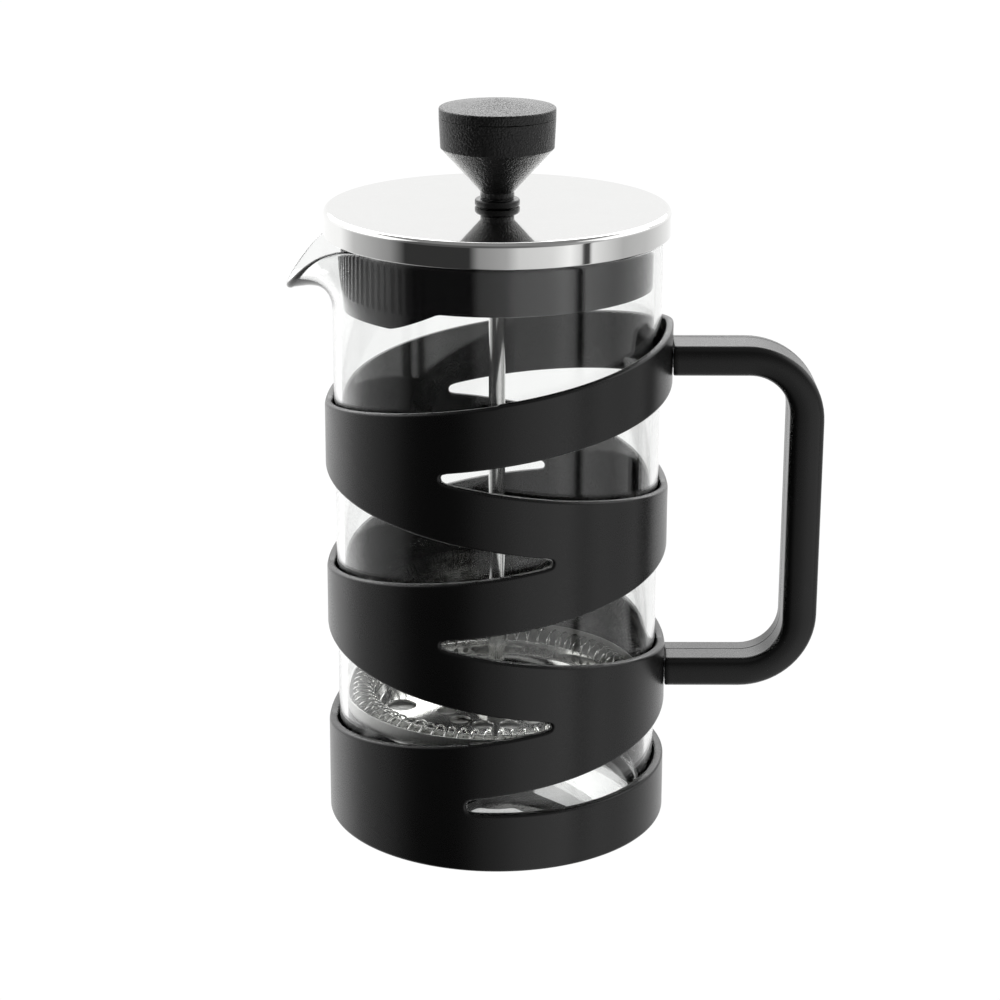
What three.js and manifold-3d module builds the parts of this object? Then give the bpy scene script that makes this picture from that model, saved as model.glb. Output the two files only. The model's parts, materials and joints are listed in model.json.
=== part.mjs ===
// A one-litre french press, in millimetres, +Z up.
// The origin is the centre of the sleeve's underside, on the surface it stands on.
// The handle points along +X and the spout along -X.
import * as THREE from "three";
import { mergeVertices } from "three/addons/utils/BufferGeometryUtils.js";
import Module from "manifold-3d";

const wasm = await Module();
wasm.setup();

// ---- driving dimensions -------------------------------------------------

const GAP = 0.3; // clearance between pieces that touch on the real object
const LAP = 0.8; // how far shapes that make one piece reach into each other
const SEGMENTS = 72; // facets round the large turned pieces
const SMALL_SEGMENTS = 36;
const SPOKE_COUNT = 4;
const FILTER_SEGMENTS = 48;

// glass beaker
const GLASS_R = 48;
const GLASS_WALL = 2.2;
const GLASS_BORE = GLASS_R - GLASS_WALL;
const GLASS_FOOT_Z = 3.3;
const GLASS_FLOOR = 3.6;
const GLASS_CORNER = 5; // rounding where wall and foot meet, outside
const GLASS_INNER_CORNER = 3.5;
const GLASS_RIM_EDGE = 0.3;
const GLASS_RIM_Z = 179.2;
const SPOUT_START_Z = 156;
const SPOUT_REACH = 61.2;
const SPOUT_TIP_Z = 163.7;
const SPOUT_THROAT = [46.9, 52.5]; // radii of the two points that steer the spout's curve
const SPOUT_THROAT_RISE = [10.5, 10];
const SPOUT_HALF_ANGLE = 42;

// slotted sleeve that holds the beaker
const SLEEVE_FOOT_R = 51.2;
const SLEEVE_TOP_R = 50.6;
const SLEEVE_BORE = 48.4;
const SLEEVE_FLOOR = 3;
const FLOOR_HUB_R = 12;
const FLOOR_WINDOW_R = 41; // the floor is a ring and a hub joined by spokes
const FLOOR_SPOKE = 8;
const SLEEVE_TAPER_TOP = 150; // the outside narrows up to this height
const SLEEVE_TOP_MID_Z = 141.3; // height of the top edge halfway round to the handle
const EDGE_RISE = 0.137; // mm per degree round the sleeve, all edges
const SLOT_PITCH = 24.85;
const SLOT_TOP_MID_Z = 119.4;
const SLOT_GAP = 7.3; // slot height a quarter turn from its widest place
const SLOT_TIP_R = 1.3;
const SLOT_LEVELS = 5;
const BASE_BAND_TOP = 18.2;
const BASE_SLOT_TIP_R = 2.2; // the lowest slot ends in a wider tip, on its flat lower edge
const SLEEVE_CHAMFER = 1;
const TOP_STAND_OFF = 0.9; // the top band springs outward by this much at the handle
const STAND_OFF_Z = [95, 140]; // heights between which it grows
const STAND_OFF_SPREAD = 38; // degrees

// D-shaped handle
const HANDLE_OUT_X = 96.1;
const HANDLE_IN_X = 85.9;
const HANDLE_TOP_Z = 147;
const HANDLE_BOTTOM_Z = 40.9;
const HANDLE_BAR = 9;
const HANDLE_WIDTH = 16.8;
const HANDLE_OUTER_CORNER = 23;
const HANDLE_INNER_CORNER = 12;
const HANDLE_EDGE = 1.1;
const HANDLE_ROOT_X = 49; // before the root is cut to the sleeve
const SCREW_R = 1.5;
const SCREW_HEAD_R = 3.1;
const SCREW_HEAD = 1;
const SCREW_LENGTH = 16;
const SCREW_SLOT = [3.4, 0.8]; // length and width of its cross drive

// lid
const COVER_R = 50.3;
const COVER_TOP_Z = 187;
const COVER_BOTTOM_Z = 179.6;
const COVER_SHEET = 0.8;
const COVER_EDGE = 1.5;
const COVER_INNER_EDGE = 0.7;
const INSERT_R = 45.3;
const INSERT_WALL = 2;
const INSERT_FLANGE_R = 48.9;
const INSERT_WEB = 2.2; // thickness of its top
const INSERT_BOSS = [9.3, 3]; // radius and depth of the boss round the bush
const INSERT_SKIRT_Z = 165.2;
const INSERT_STRAINER_Z = 159.2;
const STRAINER_HALF_ANGLE = 69; // the deep part of the skirt, either side of the spout
const STRAINER_STEP_ANGLE = 20;
const SLIT_COUNT = 41;
const SLIT_STEP = 3.2; // degrees
const SLIT_WIDTH = 1.4;
const END_GROOVES = 5; // slits at each end of the row that stop halfway through the wall
const SLIT_BOTTOM_Z = 164;
const SLIT_TOP_Z = 177;
const BUSH_COLLAR_R = 6.5;
const BUSH_COLLAR_HEIGHT = 1.9;
const BUSH_EDGE = 0.6;
const BUSH_STEM_R = 4;
const BUSH_BOTTOM_Z = 176.4;
const GUIDE_NUT_R = 7.5;
const GUIDE_NUT_HEIGHT = 2.6;

// plunger
const ROD_R = 2.45;
const ROD_BORE = ROD_R + GAP;
const ROD_BOTTOM_Z = 24.6;
const ROD_TOP_Z = 204;
const ROD_EDGE = 0.4;
const KNOB_BOTTOM_Z = COVER_TOP_Z + GAP + BUSH_COLLAR_HEIGHT + GAP;
const KNOB_NECK_R = 4.9;
const KNOB_CONE_Z = 191.2;
const KNOB_SHOULDER_Z = 204;
const KNOB_SHOULDER_R = 16.4;
const KNOB_R = 16.8;
const KNOB_WALL = 2.6;
const KNOB_PLUG_WALL = 1.6;
const KNOB_PLUG_DEPTH = 3;
const KNOB_SEAM_Z = 212.7;
const KNOB_EDGE_Z = 215.5;
const KNOB_TOP_Z = 218; // the cap rises to a shallow point
const KNOB_EDGE = 0.7;
const THREAD_INSERT_R = 4.2;
const THREAD_INSERT_Z = [192.3, 205.2];

// filter stack, from the foot of the plate upwards and downwards
const PLATE_Z = 31;
const PLATE_SHEET = 0.8;
const PLATE_FLAT_R = 36.6;
const PLATE_WALL_R = 38.6;
const PLATE_DISH = 2.4; // height of the slope between its flat and its wall
const PLATE_RIM_Z = 38.4;
const HOLE_RINGS = [
  { count: 12, ringR: 15.5, holeR: 3.05, turn: 15 },
  { count: 12, ringR: 29, holeR: 4.4, turn: 0 },
];
const COIL_MID_R = 41.9;
const COIL_R = 2.8;
const COIL_MID_Z = 39.2;
const MESH_R = 45.4;
const MESH_SHEET = 0.5;
const MESH_FLAT_R = 38;
const MESH_SLOPE = 5;
const MESH_RIM_Z = 42.4;
const CROSS_PLATE_SHEET = 1;
const CROSS_PLATE_R = 37;
const CROSS_PLATE_RIM = 4.5;
const CROSS_PLATE_HUB_R = 9;
const CROSS_PLATE_SPOKE = 7;
const NUT_R = 5.6;
const NUT_HEIGHT = 3.6;

// ---- finishes -----------------------------------------------------------

const finish = (color, roughness, metalness, extra = {}) =>
  new THREE.MeshStandardMaterial({ color, roughness, metalness, ...extra });

const BLACK_SATIN = finish(0x1b1b1b, 0.5, 0);
const BLACK_GLOSS = finish(0x101011, 0.18, 0);
const BLACK_TEXTURED = finish(0x222222, 0.6, 0);
const CLEAR_GLASS = finish(0xeef4f2, 0.05, 0, { transparent: true, opacity: 0.3 });
const POLISHED_STEEL = finish(0xd9d9d6, 0.12, 1);
const SATIN_STEEL = finish(0xb4b4b0, 0.35, 1);
const WOVEN_STEEL = finish(0x9b9b97, 0.5, 1);
const BRASS = finish(0xb59a5a, 0.35, 1);
const ZINC = finish(0xa9acae, 0.4, 1);

// ---- shared shape helpers -----------------------------------------------

const rad = THREE.MathUtils.degToRad;
const lerp = THREE.MathUtils.lerp;
const smooth = (x, low, high) => THREE.MathUtils.smoothstep(x, low, high);
const V2 = (r, z) => new THREE.Vector2(r, z);

// Angle round the press in degrees: 0 at -Y, 90 at the handle, -90 at the spout.
const angleOf = (x, y) => THREE.MathUtils.radToDeg(Math.atan2(x, -y));
const around = (r, degrees, z) =>
  new THREE.Vector3(r * Math.sin(rad(degrees)), -r * Math.cos(rad(degrees)), z);

// Turns a profile of [radius, height] points about the Z axis.
function turned(profile, segments = SEGMENTS) {
  const geometry = new THREE.LatheGeometry(profile.map(([r, z]) => V2(r, z)), segments);
  return geometry.rotateX(Math.PI / 2);
}

// A turned ring of rectangular section.
const ring = (inner, outer, low, high, segments = SEGMENTS) =>
  turned([[inner, low], [outer, low], [outer, high], [inner, high], [inner, low]], segments);

// Welds a geometry's vertices so that only position is left.
function welded(geometry) {
  const bare = geometry.clone();
  bare.deleteAttribute("normal");
  bare.deleteAttribute("uv");
  return mergeVertices(bare, 1e-4);
}

function solid(geometry) {
  const bare = welded(geometry);
  return new wasm.Manifold(new wasm.Mesh({
    numProp: 3,
    vertProperties: Float32Array.from(bare.attributes.position.array),
    triVerts: Uint32Array.from(bare.index.array),
  }));
}

function geometryOf(manifold) {
  const { vertProperties, triVerts } = manifold.getMesh();
  const geometry = new THREE.BufferGeometry();
  geometry.setAttribute("position", new THREE.BufferAttribute(vertProperties, 3));
  geometry.setIndex(new THREE.BufferAttribute(triVerts, 1));
  return geometry;
}

// Moves every vertex of a geometry with move(vector), which edits it in place.
function moved(geometry, move) {
  const bare = welded(geometry);
  const position = bare.attributes.position;
  const point = new THREE.Vector3();
  for (let i = 0; i < position.count; i++) {
    point.fromBufferAttribute(position, i);
    move(point);
    position.setXYZ(i, point.x, point.y, point.z);
  }
  return bare;
}

// A drill along Z, of radius r, standing at (x, y).
const drill = (r, x, y, low, high, sides = 16) =>
  solid(new THREE.CylinderGeometry(r, r, high - low, sides)
    .rotateX(Math.PI / 2)
    .translate(x, y, (low + high) / 2));

// A drill along X, of radius r, at height z.
const crossDrill = (r, fromX, toX, z, sides = 20) =>
  solid(new THREE.CylinderGeometry(r, r, toX - fromX, sides)
    .rotateZ(Math.PI / 2)
    .translate((fromX + toX) / 2, 0, z));

// Joins a hub and a ring round it with spokes, halfway between the X and Y axes.
function spoked(body, hubR, ringR, width, low, high) {
  const length = ringR - hubR + 2 * LAP;
  for (let k = 0; k < SPOKE_COUNT; k++) {
    const spoke = new THREE.BoxGeometry(length, width, high - low)
      .translate((hubR + ringR) / 2, 0, (low + high) / 2)
      .rotateZ(rad((360 / SPOKE_COUNT) * (k + 0.5)));
    body = body.add(solid(spoke));
  }
  return body;
}

// A hexagonal nut with a round bore.
function hexNut(acrossR, boreR, low, high) {
  const body = solid(turned([[0, low], [acrossR, low], [acrossR, high], [0, high]], 6));
  return geometryOf(body.subtract(drill(boreR, 0, 0, low - LAP, high + LAP, 24)));
}

// ---- sleeve and handle --------------------------------------------------

const sleeveOuter = (z) =>
  lerp(SLEEVE_FOOT_R, SLEEVE_TOP_R, Math.min(z / SLEEVE_TAPER_TOP, 1)) -
  Math.max(SLEEVE_CHAMFER - z, 0);
const degreesApart = (a, b) => Math.abs(((((a - b) % 360) + 540) % 360) - 180);
const standOff = (degrees, z) =>
  TOP_STAND_OFF * smooth(z, ...STAND_OFF_Z) *
  Math.exp(-((degreesApart(degrees, 90) / STAND_OFF_SPREAD) ** 2));

// A slot narrows evenly from its widest place to a rounded tip. The tip's middle lies
// tipAngle degrees round from the widest place, at height tipZ.
const slotHalf = (fromCentre) => SLOT_GAP / 2 + EDGE_RISE * (90 - fromCentre);
function slotShape(level) {
  const midZ = SLOT_TOP_MID_Z - level * SLOT_PITCH;
  const isBase = level === SLOT_LEVELS - 1;
  const tipR = isBase ? BASE_SLOT_TIP_R : SLOT_TIP_R;
  const tipZ = isBase ? BASE_BAND_TOP + tipR : midZ;
  const tipAngle = 90 + (midZ + SLOT_GAP / 2 - tipZ - tipR) / EDGE_RISE;
  return { midZ, tipR, tipZ, tipAngle, reach: tipAngle + tipR / (rad(1) * SLEEVE_TOP_R) };
}
const slotShapes = Array.from({ length: SLOT_LEVELS }, (_, level) => slotShape(level));

// The lower and upper edge of every slot at one angle, from the lowest slot up.
// Past a slot's tips its two edges meet on one line.
function slotEdges(degrees) {
  return slotShapes.map(({ midZ, tipR, tipZ, tipAngle, reach }, level) => {
    const fromCentre = degreesApart(degrees, level % 2 === 0 ? 90 : -90);
    const half = slotHalf(fromCentre);
    if (fromCentre <= tipAngle) return [Math.max(midZ - half, BASE_BAND_TOP), midZ + half];
    const past = rad(Math.min(fromCentre, reach) - tipAngle) * SLEEVE_TOP_R;
    const chord = Math.sqrt(Math.max(tipR ** 2 - past ** 2, 0));
    return [tipZ - chord, tipZ + chord];
  }).reverse();
}

const SLOT_TIPS = [
  { centre: 90, reach: slotShapes[0].reach },
  { centre: 90, reach: slotShapes.at(-1).reach },
  { centre: 270, reach: slotShapes[1].reach },
];

// Column edges round the sleeve: even steps, and the rounded slot tips.
function sleeveAngles() {
  const angles = [];
  for (let k = 0; k < SEGMENTS; k++) angles.push((360 / SEGMENTS) * k);
  for (const { centre, reach } of SLOT_TIPS) {
    for (const back of [0, 0.5, 1.5]) angles.push(centre + reach - back, centre - reach + back);
  }
  return angles.map((a) => (a + 360) % 360).sort((a, b) => a - b);
}

// The sleeve wall, built column by column between its slot edges.
function sleeveWall() {
  const positions = [];
  const corner = (degrees, z, outside) => {
    const r = (outside ? sleeveOuter(z) : SLEEVE_BORE) + standOff(degrees, z);
    return around(r, degrees, z);
  };
  const quad = (a, b, c, d) => {
    for (const [p, q, r] of [[a, b, c], [a, c, d]]) {
      const flat = p.distanceTo(q) < 1e-4 || q.distanceTo(r) < 1e-4 || r.distanceTo(p) < 1e-4;
      if (!flat) positions.push(...p.toArray(), ...q.toArray(), ...r.toArray());
    }
  };
  const ledge = (left, right, leftZ, rightZ, faceUp) => {
    const across = [corner(left, leftZ, false), corner(left, leftZ, true),
      corner(right, rightZ, true), corner(right, rightZ, false)];
    quad(...(faceUp ? across : across.reverse()));
  };
  const angles = sleeveAngles();
  angles.forEach((left, k) => {
    const right = k + 1 < angles.length ? angles[k + 1] : angles[0] + 360;
    const [leftEdges, rightEdges] = [left, right].map(slotEdges);
    const [leftTop, rightTop] = [left, right].map((a) =>
      SLEEVE_TOP_MID_Z + EDGE_RISE * (90 - degreesApart(a, 90)));
    const leftZ = [0, SLEEVE_CHAMFER, SLEEVE_CHAMFER, ...leftEdges.flat(), leftTop];
    const rightZ = [0, SLEEVE_CHAMFER, SLEEVE_CHAMFER, ...rightEdges.flat(), rightTop];
    const opens = (i) => {
      if (i < 0 || i + 1 >= leftZ.length) return true;
      return leftZ[i + 1] - leftZ[i] > 1e-6 || rightZ[i + 1] - rightZ[i] > 1e-6;
    };
    for (let i = 0; i < leftZ.length; i += 2) {
      const [a, b, c, d] = [leftZ[i], rightZ[i], rightZ[i + 1], leftZ[i + 1]];
      const [outer, inner] = [true, false].map((outside) => [
        corner(left, a, outside), corner(right, b, outside),
        corner(right, c, outside), corner(left, d, outside)]);
      quad(...outer);
      quad(...inner.reverse());
      if (opens(i - 1)) ledge(left, right, a, b, false);
      if (opens(i + 1)) ledge(left, right, d, c, true);
    }
  });
  const geometry = new THREE.BufferGeometry();
  geometry.setAttribute("position", new THREE.Float32BufferAttribute(positions, 3));
  return geometry;
}

const screwZ = {
  upper: HANDLE_TOP_Z - HANDLE_BAR / 2,
  lower: HANDLE_BOTTOM_Z + HANDLE_BAR / 2,
};
const screwHeadX = (z) => SLEEVE_BORE + standOff(90, z);

// The slotted wall with a spoked floor, and a hole and a recess for each screw.
function sleeve() {
  const [hubR, ringR, high] = [FLOOR_HUB_R, FLOOR_WINDOW_R, SLEEVE_FLOOR];
  const hub = turned([[0, 0], [hubR, 0], [hubR, high], [0, high]], SMALL_SEGMENTS);
  const rim = ring(ringR, SLEEVE_BORE + LAP, 0, high);
  const floor = spoked(solid(hub).add(solid(rim)), hubR, ringR, FLOOR_SPOKE, 0, high);
  let body = solid(sleeveWall()).add(floor);
  for (const z of [screwZ.upper, screwZ.lower]) {
    const headX = screwHeadX(z);
    body = body
      .subtract(crossDrill(SCREW_R + GAP, GLASS_BORE, headX + SCREW_LENGTH, z))
      .subtract(crossDrill(SCREW_HEAD_R + GAP, GLASS_BORE, headX + SCREW_HEAD + GAP, z));
  }
  return geometryOf(body);
}

function handleOutline() {
  const root = HANDLE_ROOT_X;
  const innerTop = HANDLE_TOP_Z - HANDLE_BAR;
  const innerBottom = HANDLE_BOTTOM_Z + HANDLE_BAR;
  const outer = HANDLE_OUTER_CORNER;
  const inner = HANDLE_INNER_CORNER;
  const right = Math.PI / 2;
  return new THREE.Shape()
    .moveTo(root, HANDLE_BOTTOM_Z)
    .lineTo(HANDLE_OUT_X - outer, HANDLE_BOTTOM_Z)
    .absarc(HANDLE_OUT_X - outer, HANDLE_BOTTOM_Z + outer, outer, -right, 0, false)
    .lineTo(HANDLE_OUT_X, HANDLE_TOP_Z - outer)
    .absarc(HANDLE_OUT_X - outer, HANDLE_TOP_Z - outer, outer, 0, right, false)
    .lineTo(root, HANDLE_TOP_Z)
    .lineTo(root, innerTop)
    .lineTo(HANDLE_IN_X - inner, innerTop)
    .absarc(HANDLE_IN_X - inner, innerTop - inner, inner, right, 0, true)
    .lineTo(HANDLE_IN_X, innerBottom + inner)
    .absarc(HANDLE_IN_X - inner, innerBottom + inner, inner, 0, -right, true)
    .lineTo(root, innerBottom)
    .closePath();
}

// The D-shaped bar, its two roots cut to the sleeve's outside.
function handle() {
  const bar = new THREE.ExtrudeGeometry(handleOutline(), {
    depth: HANDLE_WIDTH - 2 * HANDLE_EDGE,
    bevelThickness: HANDLE_EDGE,
    bevelSize: HANDLE_EDGE,
    bevelOffset: -HANDLE_EDGE,
    bevelSegments: 2,
    curveSegments: 10,
  });
  bar.translate(0, 0, -(HANDLE_WIDTH / 2 - HANDLE_EDGE)).rotateX(Math.PI / 2);
  const face = (z) => sleeveOuter(z) + standOff(90, z) + GAP;
  const low = HANDLE_BOTTOM_Z - HANDLE_BAR;
  const levels = Array.from({ length: 9 }, (_, k) => low + (k / 8) * (SLEEVE_TAPER_TOP - low));
  const profile = [[0, low], ...levels.map((z) => [face(z), z]), [0, SLEEVE_TAPER_TOP]];
  let body = solid(bar).subtract(solid(turned(profile)));
  for (const z of [screwZ.upper, screwZ.lower]) {
    body = body.subtract(crossDrill(SCREW_R + GAP, GLASS_BORE, screwHeadX(z) + SCREW_LENGTH + GAP, z));
  }
  return geometryOf(body);
}

// A pan-head screw that lies in the sleeve's wall and runs out into the handle.
function handleScrew(z) {
  const start = screwHeadX(z);
  const head = crossDrill(SCREW_HEAD_R, start, start + SCREW_HEAD, z);
  const shank = crossDrill(SCREW_R, start + SCREW_HEAD / 2, start + SCREW_LENGTH, z);
  const drive = [0, Math.PI / 2].map((turn) =>
    solid(new THREE.BoxGeometry(SCREW_HEAD, ...SCREW_SLOT).rotateX(turn).translate(start, 0, z)));
  return geometryOf(head.add(shank).subtract(drive[0]).subtract(drive[1]));
}

// ---- beaker -------------------------------------------------------------

const GLASS_MIDDLE_R = GLASS_R - GLASS_WALL / 2;
const spoutPath = new THREE.CubicBezierCurve(
  V2(GLASS_MIDDLE_R, SPOUT_START_Z),
  V2(SPOUT_THROAT[0], SPOUT_START_Z + SPOUT_THROAT_RISE[0]),
  V2(SPOUT_THROAT[1], SPOUT_START_Z + SPOUT_THROAT_RISE[1]),
  V2(SPOUT_REACH, SPOUT_TIP_Z),
);

// Middle of the glass wall at share t of the spout's height, bent out by pull 0..1.
function wallMiddle(t, pull) {
  const bent = spoutPath.getPoint(t);
  const r = lerp(GLASS_MIDDLE_R, bent.x, pull);
  const z = lerp(lerp(SPOUT_START_Z, GLASS_RIM_Z, t), bent.y, pull ** 2.2);
  return V2(r, z);
}

// Moves a point of the plain glass to its place in the glass with the spout drawn out.
function bendToSpout(p) {
  if (p.z <= SPOUT_START_Z) return;
  const fromSpout = Math.abs(angleOf(p.x, p.y) + 90);
  const turn = Math.min(fromSpout, 360 - fromSpout) / SPOUT_HALF_ANGLE;
  if (turn >= 1) return;
  const pull = Math.cos((Math.PI / 2) * turn) ** 2;
  const t = (p.z - SPOUT_START_Z) / (GLASS_RIM_Z - SPOUT_START_Z);
  const r = Math.hypot(p.x, p.y);
  const step = 0.02;
  const along = wallMiddle(Math.min(t + step, 1), pull).sub(wallMiddle(t - step, pull)).normalize();
  const side = r - GLASS_MIDDLE_R;
  const middle = wallMiddle(t, pull);
  const bentR = middle.x + along.y * side;
  p.set((p.x / r) * bentR, (p.y / r) * bentR, middle.y - along.x * side);
}

// Points round the corner between a floor and a wall, from the floor up.
const cornerPoints = (wallR, floorZ, radius) =>
  [-90, -60, -30, 0].map(rad).map((turn) =>
    [wallR - radius * (1 - Math.cos(turn)), floorZ + radius * (1 + Math.sin(turn))]);

function beaker() {
  const floorZ = GLASS_FOOT_Z + GLASS_FLOOR;
  const edge = GLASS_RIM_EDGE;
  const profile = [[0, GLASS_FOOT_Z], ...cornerPoints(GLASS_R, GLASS_FOOT_Z, GLASS_CORNER)];
  const wallLevels = 5;
  const levelZ = (k) => lerp(SPOUT_START_Z, GLASS_RIM_Z, k / wallLevels);
  for (let k = 0; k < wallLevels; k++) profile.push([GLASS_R, levelZ(k)]);
  profile.push([GLASS_R - edge, GLASS_RIM_Z - edge], [GLASS_MIDDLE_R, GLASS_RIM_Z]);
  profile.push([GLASS_BORE + edge, GLASS_RIM_Z - edge]);
  for (let k = wallLevels - 1; k >= 0; k--) profile.push([GLASS_BORE, levelZ(k)]);
  profile.push(...cornerPoints(GLASS_BORE, floorZ, GLASS_INNER_CORNER).reverse(), [0, floorZ]);
  return moved(turned(profile), bendToSpout);
}

// ---- lid ----------------------------------------------------------------

// The steel cover: a shallow cap with a hole for the bush.
function lidCover() {
  const inside = COVER_R - COVER_SHEET;
  const under = COVER_TOP_Z - COVER_SHEET;
  const profile = [
    [BUSH_STEM_R + GAP, COVER_TOP_Z],
    [BUSH_STEM_R + GAP, under],
    [inside - COVER_INNER_EDGE, under],
    [inside, under - COVER_INNER_EDGE],
    [inside, COVER_BOTTOM_Z],
    [COVER_R, COVER_BOTTOM_Z],
  ];
  for (let k = 0; k <= 2; k++) {
    const turn = rad(45 * k);
    profile.push([
      COVER_R - COVER_EDGE * (1 - Math.cos(turn)),
      COVER_TOP_Z - COVER_EDGE * (1 - Math.sin(turn)),
    ]);
  }
  profile.push([BUSH_STEM_R + GAP, COVER_TOP_Z]);
  return turned(profile);
}

const insertTopZ = COVER_TOP_Z - COVER_SHEET - GAP;

// The black insert: a flange that rests on the glass, and a skirt that is deeper
// and slit on the strainer side, which faces the spout.
function lidInsert() {
  const inside = INSERT_R - INSERT_WALL;
  const flangeZ = GLASS_RIM_Z + GAP;
  const bore = BUSH_STEM_R + GAP;
  const [bossR, bossDepth] = INSERT_BOSS;
  const webZ = insertTopZ - INSERT_WEB;
  const body = turned([
    [bore, webZ - bossDepth],
    [bossR, webZ - bossDepth],
    [bossR, webZ],
    [inside, webZ],
    [inside, INSERT_SKIRT_Z],
    [INSERT_R, INSERT_SKIRT_Z],
    [INSERT_R, flangeZ],
    [INSERT_FLANGE_R, flangeZ],
    [INSERT_FLANGE_R, insertTopZ - COVER_EDGE],
    [INSERT_FLANGE_R - COVER_INNER_EDGE, insertTopZ],
    [bore, insertTopZ],
    [bore, webZ - bossDepth],
  ]);
  const deepened = moved(body, (p) => {
    if (p.z > INSERT_SKIRT_Z + LAP) return;
    const fromSpout = Math.abs(angleOf(p.x, p.y) + 90);
    const away = Math.min(fromSpout, 360 - fromSpout);
    const shallow = smooth(away, STRAINER_HALF_ANGLE - STRAINER_STEP_ANGLE, STRAINER_HALF_ANGLE);
    p.z = lerp(INSERT_STRAINER_Z, INSERT_SKIRT_Z, shallow);
  });
  let strainer = solid(deepened);
  for (let k = 0; k < SLIT_COUNT; k++) {
    const degrees = -90 + (k - (SLIT_COUNT - 1) / 2) * SLIT_STEP;
    const isGroove = Math.min(k, SLIT_COUNT - 1 - k) < END_GROOVES;
    const depth = isGroove ? INSERT_WALL : 3 * INSERT_WALL;
    const cutter = new THREE.BoxGeometry(SLIT_WIDTH, depth, SLIT_TOP_Z - SLIT_BOTTOM_Z)
      .translate(0, -INSERT_R, (SLIT_TOP_Z + SLIT_BOTTOM_Z) / 2)
      .rotateZ(rad(degrees));
    strainer = strainer.subtract(solid(cutter));
  }
  return geometryOf(strainer);
}

// The bush the rod slides in: a collar above the cover and a stem down to the nut.
function rodGuideBush() {
  const collarZ = COVER_TOP_Z + GAP;
  const collarTop = collarZ + BUSH_COLLAR_HEIGHT;
  return turned([
    [ROD_BORE, BUSH_BOTTOM_Z],
    [BUSH_STEM_R, BUSH_BOTTOM_Z],
    [BUSH_STEM_R, collarZ],
    [BUSH_COLLAR_R, collarZ],
    [BUSH_COLLAR_R, collarTop - BUSH_EDGE],
    [BUSH_COLLAR_R - BUSH_EDGE, collarTop],
    [ROD_BORE, collarTop],
    [ROD_BORE, BUSH_BOTTOM_Z],
  ], SMALL_SEGMENTS);
}

function guideNut() {
  const high = insertTopZ - INSERT_WEB - INSERT_BOSS[1] - GAP;
  return hexNut(GUIDE_NUT_R, BUSH_STEM_R + GAP, high - GUIDE_NUT_HEIGHT, high);
}

// ---- plunger ------------------------------------------------------------

// The knob's cone and band, hollow from above, with a pocket for the thread insert.
function knobBody() {
  const pocketR = THREAD_INSERT_R + GAP;
  const pocketZ = THREAD_INSERT_Z[0] - GAP;
  const cupR = KNOB_R - KNOB_WALL;
  const cupZ = THREAD_INSERT_Z[1] + GAP;
  return turned([
    [ROD_BORE, KNOB_BOTTOM_Z],
    [KNOB_NECK_R, KNOB_BOTTOM_Z],
    [KNOB_NECK_R, KNOB_CONE_Z],
    [KNOB_SHOULDER_R, KNOB_SHOULDER_Z],
    [KNOB_R, KNOB_SEAM_Z - GAP],
    [cupR, KNOB_SEAM_Z - GAP],
    [cupR, cupZ],
    [pocketR, cupZ],
    [pocketR, pocketZ],
    [ROD_BORE, pocketZ],
    [ROD_BORE, KNOB_BOTTOM_Z],
  ], SMALL_SEGMENTS);
}

// The cap's plug drops into the hollow knob body.
function knobCap() {
  const plugR = KNOB_R - KNOB_WALL - GAP;
  const plugBoreR = plugR - KNOB_PLUG_WALL;
  const plugZ = KNOB_SEAM_Z - KNOB_PLUG_DEPTH;
  return turned([
    [0, KNOB_SEAM_Z],
    [plugBoreR, KNOB_SEAM_Z],
    [plugBoreR, plugZ],
    [plugR, plugZ],
    [plugR, KNOB_SEAM_Z],
    [KNOB_R, KNOB_SEAM_Z],
    [KNOB_R, KNOB_EDGE_Z - KNOB_EDGE],
    [KNOB_R - KNOB_EDGE / 3, KNOB_EDGE_Z - KNOB_EDGE / 3],
    [KNOB_R - KNOB_EDGE, KNOB_EDGE_Z],
    [0, KNOB_TOP_Z],
  ], SMALL_SEGMENTS);
}

const knobThreadInsert = () => ring(ROD_BORE, THREAD_INSERT_R, ...THREAD_INSERT_Z, 24);

const plungerRod = () =>
  turned([
    [0, ROD_BOTTOM_Z],
    [ROD_R - ROD_EDGE, ROD_BOTTOM_Z],
    [ROD_R, ROD_BOTTOM_Z + ROD_EDGE],
    [ROD_R, ROD_TOP_Z - ROD_EDGE],
    [ROD_R - ROD_EDGE, ROD_TOP_Z],
    [0, ROD_TOP_Z],
  ], 24);

// A dished disc with two rings of holes; its rim carries the coil.
function springPlate() {
  const top = PLATE_Z + PLATE_SHEET;
  const innerWall = PLATE_WALL_R - PLATE_SHEET;
  let body = solid(turned([
    [ROD_BORE, PLATE_Z],
    [PLATE_FLAT_R, PLATE_Z],
    [PLATE_WALL_R, PLATE_Z + PLATE_DISH],
    [PLATE_WALL_R, PLATE_RIM_Z],
    [innerWall, PLATE_RIM_Z],
    [innerWall, PLATE_Z + PLATE_DISH + PLATE_SHEET / 2],
    [PLATE_FLAT_R - PLATE_SHEET / 2, top],
    [ROD_BORE, top],
    [ROD_BORE, PLATE_Z],
  ], FILTER_SEGMENTS));
  for (const { count, ringR, holeR, turn } of HOLE_RINGS) {
    for (let k = 0; k < count; k++) {
      const at = around(ringR, turn + (360 / count) * k, 0);
      body = body.subtract(drill(holeR, at.x, at.y, PLATE_Z - LAP, top + LAP, 12));
    }
  }
  return geometryOf(body);
}

// The coil spring's outer shape: one fat ring that its turns fill.
function springCoil() {
  const profile = [];
  for (let k = 0; k <= 10; k++) {
    const turn = rad(36 * k);
    profile.push([COIL_MID_R + COIL_R * Math.cos(turn), COIL_MID_Z + COIL_R * Math.sin(turn)]);
  }
  return turned(profile, FILTER_SEGMENTS);
}

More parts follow.
